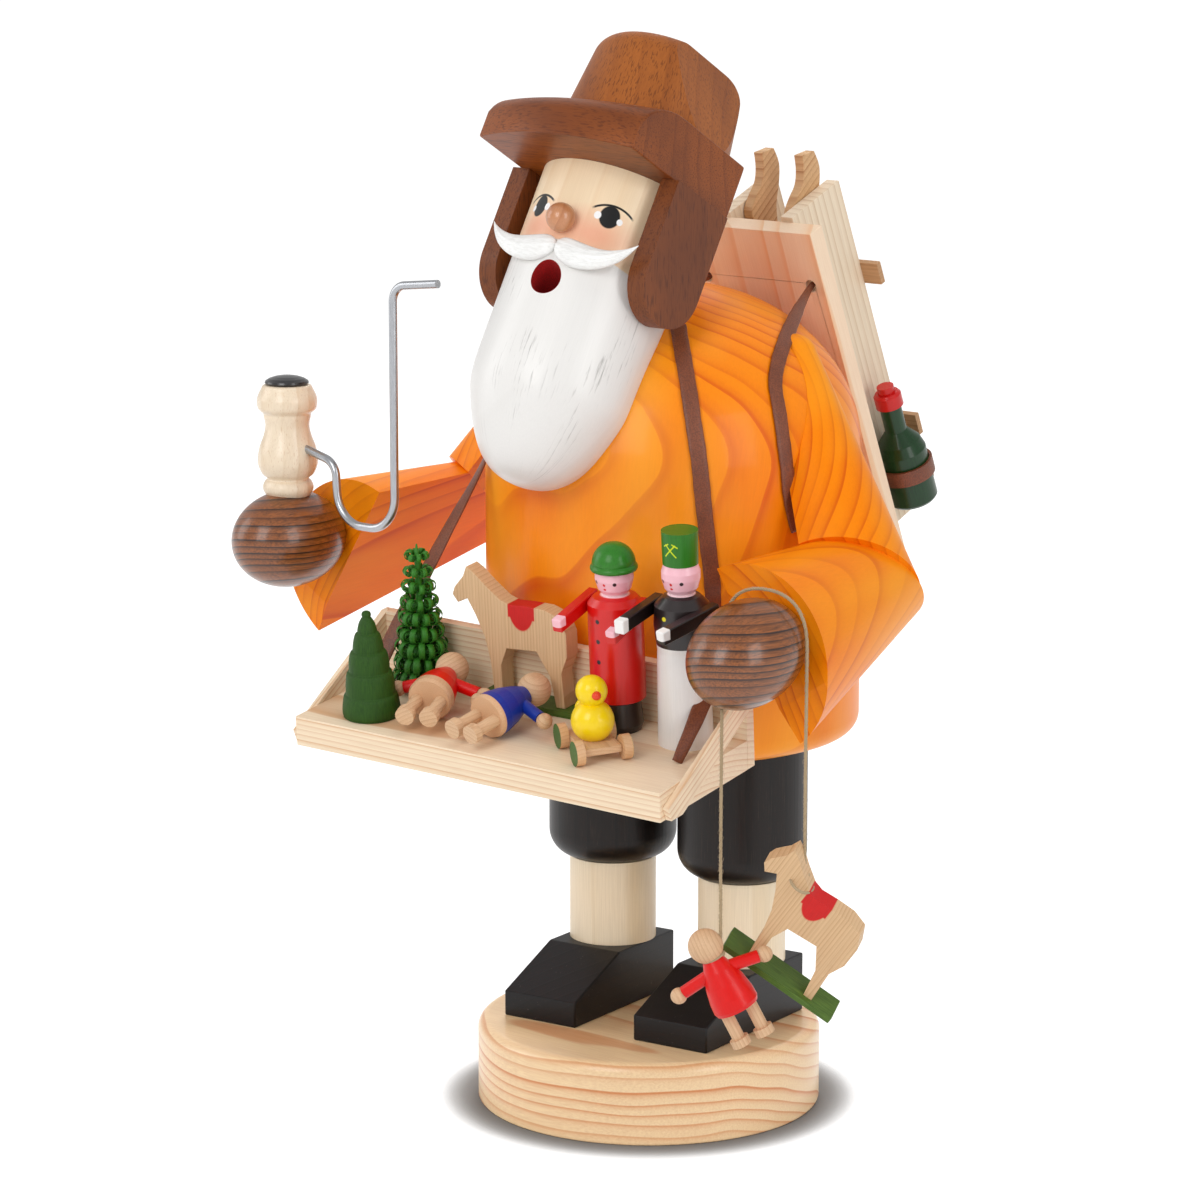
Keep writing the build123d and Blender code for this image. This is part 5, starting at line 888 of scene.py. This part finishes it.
doll_knot = mesh_piece("doll_string_knot", *merged([
    knot(metres(*DOLL_ROUTE[-1]) + metres(0, 0, 1.0)),
    neck_loop(metres(127.3, -108.9, 113.2), HUNG_DOLL_X, HUNG_DOLL_Z, (4.6, 4.6)),
]))
horse_knot = mesh_piece("horse_string_knot", *merged([
    knot(metres(*HORSE_ROUTE[-1]) + metres(0, 0, 1.5)),
    neck_loop(metres(157.0, -86.0, 146.8), HUNG_HORSE[1], HUNG_HORSE[2], (5.5, 6.4)),
]))
for piece, body in ((doll_knot, "hanging_doll"), (horse_knot, "hanging_horse_toy")):
    jute_looks.on(piece)
    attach(piece, body)
for piece, line, body, node in strings:
    jute_looks.on(piece)
    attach(piece, body)
    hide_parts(node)


# Moustache: two carved wings that meet under the nose
WING_TOP = ((0.0, 36.4), (1.5, 38.4), (5.0, 39.5), (10.0, 38.9), (16.0, 37.8), (21.0, 37.3), (26.0, 37.6),
            (31.0, 39.0), (35.0, 41.0), (37.8, 43.0))
WING_FOOT = ((0.0, 33.6), (1.5, 30.8), (5.0, 28.2), (10.0, 26.6), (16.0, 26.5), (21.0, 27.4), (26.0, 29.4),
             (31.0, 32.8), (35.0, 37.6), (37.8, 42.6))


def smooth(points, share):
    """A place on a smooth line through the points, at a share of their count."""
    t = share * (len(points) - 1)
    k = min(int(t), len(points) - 2)
    f = t - k
    four = [points[max(0, min(len(points) - 1, k + j))] for j in (-1, 0, 1, 2)]
    return [
        0.5 * (2 * b + (c - a) * f + (2 * a - 5 * b + 4 * c - d) * f * f + (3 * b - a - 3 * c + d) * f ** 3)
        for a, b, c, d in zip(*four)
    ]


def wing(side):
    """One carved wing: rings of a flat oval with furrows that run to the turned-up tip."""
    x_axis, z_axis = Vector(FACE_X), Vector(HEAD_Z).normalized()
    y_axis = z_axis.cross(x_axis)
    rings = []
    count, steps = 48, 56
    for i in range(steps + 1):
        share = i / steps
        across, top = smooth(WING_TOP, share)
        _, foot = smooth(WING_FOOT, share)
        middle, half = (top + foot) / 2, max(0.25, (top - foot) / 2)
        back = 38.4 - 4.4 * (across / 37.8) ** 2
        ring = []
        for j in range(count):
            turn = 2 * math.pi * j / count
            tall = half * math.cos(turn)
            thick = 0.55 * half * math.sin(turn)
            if math.sin(turn) > 0:
                thick += 0.16 * math.sin(tall * 2.6 + 1.2 * math.sin(share * 5)) * math.sin(turn) * min(1.0, half / 2)
            place = Vector(HEAD_ORIGIN) + z_axis * (middle + tall) + x_axis * side * across - y_axis * (back + thick)
            ring.append(metres(*place))
        if side < 0:
            ring.reverse()
        rings.append(ring)
    return tube_rings(rings)


moustache = mesh_piece("moustache_wings", *merged([wing(-1), wing(1)]))
beard_looks = Looks("moustache_white", 0.36, 0.25)
at = beard_looks.here(HEAD_ORIGIN, FACE_X, HEAD_Z)
fine = beard_looks.noise(at, (0.25, 1.0, 1.6), 4.0, 0.65)
colour = beard_looks.mix(beard_looks.ramp(fine, ((0.45, 0.0), (0.75, 0.5))), tone(244, 244, 242), tone(206, 204, 200))
beard_looks.colour(colour)
beard_looks.bump(fine, 0.35, 0.3)
beard_looks.on(moustache)
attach(moustache, "figure")
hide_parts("moustache")


# Curled tree: rows of shavings that spring out of a peg and curl up
def on_tray(x, y, z):
    return metres(*(Vector(TRAY_ORIGIN) + Vector(TRAY_X) * x + Vector(TRAY_Y) * y + Vector(TRAY_Z) * z))


def curl(x, y, level, azimuth, reach, rise, width, rng):
    """One shaving: it leaves the peg, runs out and curls up into a spiral."""
    out = (math.cos(azimuth), math.sin(azimuth))
    side = (-out[1], out[0])
    spiral = reach * rng.uniform(0.30, 0.36)
    line = []
    steps = 18
    for i in range(5):
        t = i / 5
        line.append((1.6 + (reach - spiral - 1.6) * t, level + rise * t * t, 0.0))
    low = (reach - spiral, level + rise + spiral)
    turns = rng.uniform(1.15, 1.6)
    for i in range(steps + 1):
        t = i / steps
        angle = -math.pi / 2 + turns * 2 * math.pi * t
        size = spiral * (1 - 0.55 * t)
        line.append((low[0] + size * math.cos(angle), low[1] + size * math.sin(angle), 0.5 * t))
    points, faces = [], []
    thick = 0.16
    for i, (r, h, drift) in enumerate(line):
        ahead = line[min(i + 1, len(line) - 1)]
        back = line[max(i - 1, 0)]
        dr, dh = ahead[0] - back[0], ahead[1] - back[1]
        size = math.hypot(dr, dh) or 1.0
        nr, nh = -dh / size * thick, dr / size * thick
        half = width / 2 * (1.0 - 0.25 * i / len(line))
        for s, n in ((-1, -1), (1, -1), (1, 1), (-1, 1)):
            rr, hh, ss = r + nr * n, h + nh * n, s * half + drift
            points.append(on_tray(x + out[0] * rr + side[0] * ss, y + out[1] * rr + side[1] * ss, hh))
    for i in range(len(line) - 1):
        for j in range(4):
            k = (j + 1) % 4
            faces.append((i * 4 + j, i * 4 + k, i * 4 + 4 + k, i * 4 + 4 + j))
    faces.append((3, 2, 1, 0))
    last = (len(line) - 1) * 4
    faces.append((last, last + 1, last + 2, last + 3))
    return points, faces


rng = random.Random(11)
CURLED_AT, CURLED_FOOT, CURLED_TOP = (-67.2, 57.0), 13.6, 13.6 + 69.0
parts = []
tiers = 9
for tier in range(tiers):
    share = tier / (tiers - 1)
    level = CURLED_FOOT + 3.0 + (CURLED_TOP - CURLED_FOOT - 9.0) * share
    reach = 15.0 * (1 - 0.60 * share)
    count = max(8, int(15 - 7 * share))
    for i in range(count):
        azimuth = 2 * math.pi * (i + 0.5 * (tier % 2)) / count + rng.uniform(-0.06, 0.06)
        parts.append(curl(
            *CURLED_AT, level + rng.uniform(-0.3, 0.3), azimuth, reach * rng.uniform(0.93, 1.0), -1.2, 3.4 * (1 - 0.35 * share), rng
        ))
peg_rings = []
for i in range(13):
    share = i / 12
    radius = (2.6 * (1 - 0.55 * share)) if i < 12 else 0.3
    ring = []
    for j in range(16):
        turn = 2 * math.pi * j / 16
        ring.append(on_tray(
            CURLED_AT[0] + radius * math.cos(turn), CURLED_AT[1] + radius * math.sin(turn), CURLED_FOOT + (CURLED_TOP - CURLED_FOOT) * share
        ))
    peg_rings.append(ring)
parts.append(tube_rings(peg_rings))
curled = mesh_piece("curled_tree_shavings", *merged(parts))
curl_looks, at, colour = paint("shaving_green", on_tray(-73, 57, 40) / MM, TRAY_X, TRAY_Z, tone(66, 138, 46), tone(32, 88, 24), 0.5, 0.0, 0.6, 2.4)
curl_looks.colour(colour)
curl_looks.on(curled)
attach(curled, "figure")
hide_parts("curled_tree")


# Straps: flat thongs with rounded edges
COAT_MIDDLE, COAT_RADIUS, COAT_SHOULDER, COAT_DOME = 16.8, 86.6, 304.4, 77.4


def on_coat(x, y, z, lift=0.9):
    """The place on the coat at the same height and bearing, and the direction out of it."""
    high = max(0.0, z - COAT_SHOULDER)
    radius = (COAT_RADIUS + lift) * math.sqrt(max(0.0, 1 - (high / (COAT_DOME + lift)) ** 2))
    flat = Vector((x, y - COAT_MIDDLE, 0.0)).normalized()
    place = Vector((flat.x * radius, flat.y * radius + COAT_MIDDLE, z))
    out = Vector((place.x, place.y - COAT_MIDDLE, high * (COAT_RADIUS / COAT_DOME) ** 2)).normalized()
    return place, out


def thong(stations):
    """A strap along stations of (place, out direction, width): its face looks out."""
    count = (len(stations) - 1) * 10
    places = [tuple(s[0]) for s in stations]
    outs = [tuple(s[1]) for s in stations]
    widths = [(s[2],) for s in stations]
    line = [Vector(smooth(places, i / count)) for i in range(count + 1)]
    rings = []
    for i, place in enumerate(line):
        ahead = (line[min(i + 1, count)] - line[max(i - 1, 0)]).normalized()
        out = Vector(smooth(outs, i / count))
        out = (out - ahead * out.dot(ahead)).normalized()
        side = ahead.cross(out)
        half = smooth(widths, i / count)[0] / 2
        half += 0.12 * math.sin(i * 0.9) * math.sin(i * 0.37)
        ring = []
        for u, v in ((-1.0, -0.35), (-0.93, -0.7), (0.93, -0.7), (1.0, -0.35), (1.0, 0.35), (0.93, 0.62),
                     (0.5, 0.76), (0.0, 0.8), (-0.5, 0.76), (-0.93, 0.62), (-1.0, 0.35)):
            ring.append((place + side * half * u + out * 0.85 * v) * MM)
        rings.append(ring)
    return tube_rings(rings)


def runs_down(places, free, foot_out, width=7.3):
    """Stations on the coat and then a run through free places to a foot on the tray."""
    stations = [(*on_coat(*place), width) for place in places]
    out = stations[-1][1]
    for share, place in zip((0.45, 0.8, 1.0, 1.0), free):
        stations.append((Vector(place), out.lerp(Vector(foot_out), share), width))
    stations[-1] = (stations[-1][0], stations[-1][1], width * 0.62)
    return stations


left_run = runs_down(
    ((33.3, -20.5, 368.4), (42.7, -29.0, 358.9), (52.3, -36.4, 345.0), (58.8, -40.7, 330.5), (63.6, -42.3, 313.4),
     (65.1, -41.2, 295.6), (66.7, -39.6, 275.4), (68.0, -38.2, 259.6), (68.5, -38.0, 247.0)),
    ((77.5, -50.0, 234.5), (94.0, -68.5, 228.0), (98.0, -84.0, 211.5), tuple(on_tray(85, 32.5, 14.4) / MM)),
    (0.78, -0.6, 0.15),
)
right_run = runs_down(
    ((-33.3, -20.5, 368.4), (-42.0, -32.0, 356.2), (-49.0, -43.0, 339.3), (-51.5, -50.0, 322.0), (-52.4, -53.2, 304.8)),
    ((-58.7, -74.5, 270.3), (-65.0, -95.0, 236.5), (-70.5, -113.5, 206.0), tuple(on_tray(-90, 34, 14.4) / MM)),
    (0.45, -0.85, 0.3),
)
tray_straps = mesh_piece("tray_strap_thongs", *merged([thong(left_run), thong(right_run)]))


def pack_run(side):
    """The pack's strap: it leaves its hole on edge, turns flat on the coat and hangs beside the arm."""
    shift = 5.0 if side < 0 else 0.0
    stations = [
        (Vector((side * 31.0, 82.0, 378.0)), Vector((side * 0.85, 0.5, 0.1)), 3.4),
        (Vector((side * 31.4, 77.6, 375.8)), Vector((side * 0.85, 0.5, 0.1)), 3.6),
        (Vector((side * (42.0 - shift), 57.0, 370.6)), Vector((side * 0.8, 0.35, 0.5)), 5.4),
        (Vector((side * (53.5 - shift), 35.4, 364.6)), Vector((side * 0.65, 0.05, 0.8)), 6.6),
    ]
    for place in ((63.4, 17.0, 358.2), (69.1, 5.5, 351.0), (73.5, -1.5, 343.1), (78.5, -4.7, 332.8), (82.2, -6.4, 319.9),
                  (84.3, -6.0, 306.6), (84.8, -4.3, 293.0), (85.7, -0.2, 279.0)):
        place, out = on_coat(side * (place[0] - shift * (place[2] > 340)), place[1], place[2])
        stations.append((place, out, 7.0))
    return stations


pack_straps = mesh_piece("pack_strap_thongs", *merged([thong(pack_run(-1)), thong(pack_run(1))]))
for piece, node in ((tray_straps, "tray_strap"), (pack_straps, "pack_strap")):
    leather_looks.on(piece)
    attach(piece, "figure")
    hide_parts(node)


# Arms of the soldier and the miner: square pegs, their ends painted as hands
def arm(origin, level, radius, side, drop, inward, length):
    """One arm from a shoulder, turned down and inward by the angles."""
    x_axis, y_axis, z_axis = Vector(TRAY_X), Vector(TRAY_Y), Vector(TRAY_Z)
    start = Vector(origin) + x_axis * side * (radius + 1.6) + y_axis * 1.6 + z_axis * level
    turn, lean = math.radians(inward), math.radians(drop)
    flat = -y_axis * math.cos(turn) - x_axis * side * math.sin(turn)
    ahead = flat * math.cos(lean) - z_axis * math.sin(lean)
    across = flat.cross(z_axis).normalized()
    rise = across.cross(ahead)
    rings = []
    for far, size in ((-3.0, 0.86), (-2.6, 1.0), (length - 0.5, 1.0), (length, 0.88)):
        ring = []
        for u, v in ((-1, -0.86), (-0.86, -1), (0.86, -1), (1, -0.86), (1, 0.86), (0.86, 1), (-0.86, 1), (-1, 0.86)):
            ring.append((start + ahead * far + across * 2.4 * u * size + rise * 3.1 * v * size) * MM)
        rings.append(ring)
    return tube_rings(rings), start, ahead


def arm_pair(name, origin, level, radius, angles, length, sleeve_colour, hand_colour, node):
    skins = []
    looks = Looks(name + "_paint", 0.36, 0.2)
    hand = None
    for side, drop, inward in angles:
        skin, start, ahead = arm(origin, level, radius, side, drop, inward, length)
        skins.append(skin)
        x, y, z = looks.parts(looks.here(start, TRAY_Z, ahead))
        tip = looks.within(looks.math("MULTIPLY", z, -1.0), -(length - 4.2), 0.08)
        near = looks.within(looks.vector("LENGTH", looks.joined(x, y, 0.0)), 6.0, 0.1)
        tip = looks.math("MULTIPLY", tip, near)
        hand = tip if hand is None else looks.math("MAXIMUM", hand, tip)
    at = looks.here(origin, TRAY_X, TRAY_Y)
    thin = looks.fibres(at, 0.08, 2.2)
    colour = looks.mix(thin, sleeve_colour, tuple(c * 0.7 for c in sleeve_colour))
    looks.colour(looks.mix(hand, colour, hand_colour))
    looks.bump(thin, 0.15, 0.15)
    piece = mesh_piece(name, *merged(skins), smooth=False)
    looks.on(piece)
    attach(piece, "figure")
    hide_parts(node)


arm_pair("soldier_square_arms", SOLDIER_ORIGIN, SOLDIER_NECK * 0.93, 12.25, ((-1, 11.0, 0.0), (1, 13.0, 0.0)), 27.5,
         SOLDIER_RED, PINK, "soldier_arms")
arm_pair("miner_square_arms", MINER_ORIGIN, MINER_NECK * 0.90, 12.5, ((-1, 5.0, 0.0), (1, 9.0, 16.0)), 30.0,
         tone(30, 22, 21), tone(244, 242, 240), "miner_arms")


# Turned tree and the soldier's hat: turned smooth
def lathe(origin, x_axis, z_axis, profile, fine=6):
    """A turned skin from (radius, height) points in millimetres."""
    x_axis, z_axis = Vector(x_axis).normalized(), Vector(z_axis).normalized()
    y_axis = z_axis.cross(x_axis)
    count = (len(profile) - 1) * fine
    rings = []
    for i in range(count + 1):
        radius, height = smooth(profile, i / count)
        radius = max(0.02, radius)
        ring = []
        for j in range(64):
            turn = 2 * math.pi * j / 64
            place = Vector(origin) + z_axis * height + (x_axis * math.cos(turn) + y_axis * math.sin(turn)) * radius
            ring.append(place * MM)
        rings.append(ring)
    return tube_rings(rings)


PIPE_SHARES = (
    (0.0, 0.0), (0.60, 0.0), (0.72, 0.03), (0.82, 0.07), (0.84, 0.11), (0.78, 0.15), (0.70, 0.18), (0.86, 0.22), (0.98, 0.29), (1.0, 0.35),
    (0.94, 0.45), (0.80, 0.55), (0.73, 0.64), (0.78, 0.72), (0.80, 0.75), (0.96, 0.79), (1.0, 0.85), (0.97, 0.90), (0.86, 0.96),
    (0.76, 0.995), (0.4, 1.0), (0.0, 1.0),
)
bowl = mesh_piece("pipe_bowl_turned", *lathe(
    (-135.4, -98.1, 281.5), (1, 0, 0), UP, [(13.9 * r, 53.0 * h) for r, h in PIPE_SHARES]
))
bowl.data.materials.append(nodes["pipe_bowl"].data.materials[0])
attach(bowl, "figure")
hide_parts("pipe_bowl")

# Sled: the tips of its runners sweep back and end flat
RUNNER_TIP = ((23.2, 58.0), (18.8, 67.0), (18.4, 75.5), (24.0, 80.5), (30.5, 84.5), (34.0, 90.5), (35.5, 97.5))
RUNNER_BACK = ((44.5, 95.5), (45.5, 87.0), (42.0, 78.5), (36.5, 70.0), (33.1, 58.0))


def in_pack(x, deep, high):
    return metres(x, 97.8, 331.4) + (Vector(PACK_Y) * deep + Vector(PACK_Z) * high) * MM


runner_line = [(33.1, -90.9), (23.2, -90.9)]
runner_line += [smooth(RUNNER_TIP, i / 24) for i in range(25)] + [smooth(RUNNER_BACK, i / 16) for i in range(17)]
sled_parts = []
for middle in (-12.0, 12.0):
    sled_parts.append(tube_rings([[in_pack(middle + half, d, h) for d, h in runner_line] for half in (-2.5, 2.5)]))
for step in range(4):
    low = -90.9 + 190.0 * (0.12 + 0.2 * step)
    section = ((30.6, low), (33.1, low), (33.1, low + 9.0), (30.6, low + 9.0))
    sled_parts.append(tube_rings([[in_pack(x, d, h) for d, h in section] for x in (-12.0, 12.0)]))
sled_piece = mesh_piece("sled_curved", *merged(sled_parts), smooth=False)
sled_bevel = sled_piece.modifiers.new("edge", "BEVEL")
sled_bevel.width, sled_bevel.segments, sled_bevel.limit_method = 0.35 * MM, 2, "ANGLE"
sled_piece.data.materials.append(nodes["sled"].data.materials[0])
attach(sled_piece, "sled_body")
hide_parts("sled")

TREE_SHARES = (
    (0.0, 0.0), (0.88, 0.0), (0.97, 0.012), (1.0, 0.04), (0.99, 0.10), (0.93, 0.19), (0.86, 0.215), (0.855, 0.235), (0.84, 0.32),
    (0.79, 0.405), (0.71, 0.43), (0.705, 0.45), (0.69, 0.53), (0.63, 0.60), (0.54, 0.625), (0.535, 0.645), (0.50, 0.71),
    (0.43, 0.775), (0.34, 0.80), (0.335, 0.82), (0.28, 0.88), (0.19, 0.925), (0.15, 0.94), (0.165, 0.965), (0.12, 0.99), (0.0, 1.0),
)
tree = mesh_piece("turned_tree_smooth", *lathe(
    on_tray(-68.0, 18.5, 13.7) / MM, TRAY_X, TRAY_Z, [(13.0 * r, 49.0 * h) for r, h in TREE_SHARES], 4
))
tree_looks, at, colour = paint("tree_stain", on_tray(-68, 18.5, 13.7) / MM, TRAY_X, TRAY_Z, tone(50, 88, 24), tone(26, 54, 12), 0.6, 0.0, 0.6)
tree_looks.colour(colour)
tree_looks.on(tree)
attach(tree, "figure")
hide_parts("turned_tree")

HAT_SHARES = (
    (0.0, 0.0), (0.86, 0.0), (0.97, 0.02), (1.0, 0.08), (0.99, 0.16), (0.93, 0.24), (0.90, 0.27), (0.915, 0.32), (0.90, 0.45),
    (0.83, 0.66), (0.70, 0.86), (0.50, 1.03), (0.26, 1.13), (0.0, 1.16),
)
dome = mesh_piece("soldier_dome_hat", *lathe(
    (54.652, -89.376, 270.355), TRAY_X, TRAY_Z, [(10.5 * r, 10.5 * h) for r, h in HAT_SHARES], 4
))
dome.data.materials.append(nodes["soldier_hat"].data.materials[0])
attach(dome, "figure")
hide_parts("soldier_hat")

# Edges: a small round on the sharp edges of the boards
def soft_edges(width, *names):
    for name in names:
        target = nodes[name]
        weld = target.modifiers.new("weld", "WELD")
        weld.merge_threshold = 0.00001
        bevel = target.modifiers.new("edge", "BEVEL")
        bevel.width = width * MM
        bevel.segments = 3
        bevel.limit_method = "ANGLE"
        bevel.angle_limit = math.radians(38)
        shade = target.modifiers.new("shade", "WEIGHTED_NORMAL")
        shade.weight = 60


soft_edges(0.35, "tray_board", "tray_back", "tray_braces", "pack_board", "pack_sides", "pack_laths",
           "pack_floor", "toy_horse", "hanging_horse", "toy_horse_stand", "hanging_horse_stand",
           "duck_cart")
soft_edges(0.6, "shoes", "left_ear_flap", "right_ear_flap")

# Cords
for piece, line, body, node in strings:
    path = evenly(line, 0.002)

# Floor with a painted contact shadow, lights and world
floor = mesh_piece("floor", [(-30, -30, 0), (30, -30, 0), (30, 30, 0), (-30, 30, 0)], [(0, 1, 2, 3)], False)
floor_looks = Looks("pale_floor", 0.9)
path_node = floor_looks.tree.nodes.new("ShaderNodeLightPath")
seen = floor_looks.math("MAXIMUM", path_node.outputs["Is Camera Ray"], path_node.outputs["Is Glossy Ray"])
floor_looks.colour(floor_looks.mix(seen, (0.8, 0.8, 0.8), (0.22, 0.22, 0.22)))
floor_looks.set("Specular IOR Level", 0.0)
# Painted contact shadow: ambient occlusion darkens the floor's emission near the figure's base, as the camera and
# reflections see it
near = floor_looks.tree.nodes.new("ShaderNodeAmbientOcclusion")
near.samples = 16
near.inputs["Distance"].default_value = 0.02
painted_contact_shadow = floor_looks.math("POWER", near.outputs["AO"], 7.0)
floor_looks.set("Emission Color", (1.0, 1.0, 1.0, 1.0))
floor_looks.set("Emission Strength", floor_looks.math("MULTIPLY", floor_looks.math("MULTIPLY", seen, 0.96), painted_contact_shadow))
floor_looks.on(floor)

world = bpy.data.worlds.new("studio")
scene.world = world
world.use_nodes = True
tree = world.node_tree
background = tree.nodes["Background"]
light_path = tree.nodes.new("ShaderNodeLightPath")
level = tree.nodes.new("ShaderNodeMapRange")
level.inputs["To Min"].default_value = 0.5
level.inputs["To Max"].default_value = 0.62
tree.links.new(light_path.outputs["Is Glossy Ray"], level.inputs["Value"])
brightest = tree.nodes.new("ShaderNodeMath")
brightest.operation = "MAXIMUM"
tree.links.new(level.outputs[0], brightest.inputs[0])
tree.links.new(light_path.outputs["Is Camera Ray"], brightest.inputs[1])
tree.links.new(brightest.outputs[0], background.inputs["Strength"])
background.inputs["Color"].default_value = (1, 1, 1, 1)


def softbox(name, place, size, power, glossy=True):
    lamp = bpy.data.lights.new(name, "AREA")
    lamp.shape = "RECTANGLE"
    lamp.size, lamp.size_y = size
    lamp.energy = power
    made = linked(name, lamp)
    made.location = place
    made.visible_glossy = glossy
    aim = Vector((0, 0, 0.28)) - Vector(place)
    made.rotation_euler = aim.to_track_quat("-Z", "Y").to_euler()


softbox("key", (0.35, -1.9, 1.25), (0.9, 1.3), 15)
softbox("right_fill", (1.9, -0.3, 0.9), (0.7, 1.3), 9.5)
softbox("left_fill", (-1.5, -0.9, 0.9), (0.9, 1.2), 7)
softbox("back", (-1.1, 1.5, 1.3), (0.8, 0.8), 26, False)
softbox("top", (0.2, 0.3, 2.0), (1.2, 1.2), 7, False)
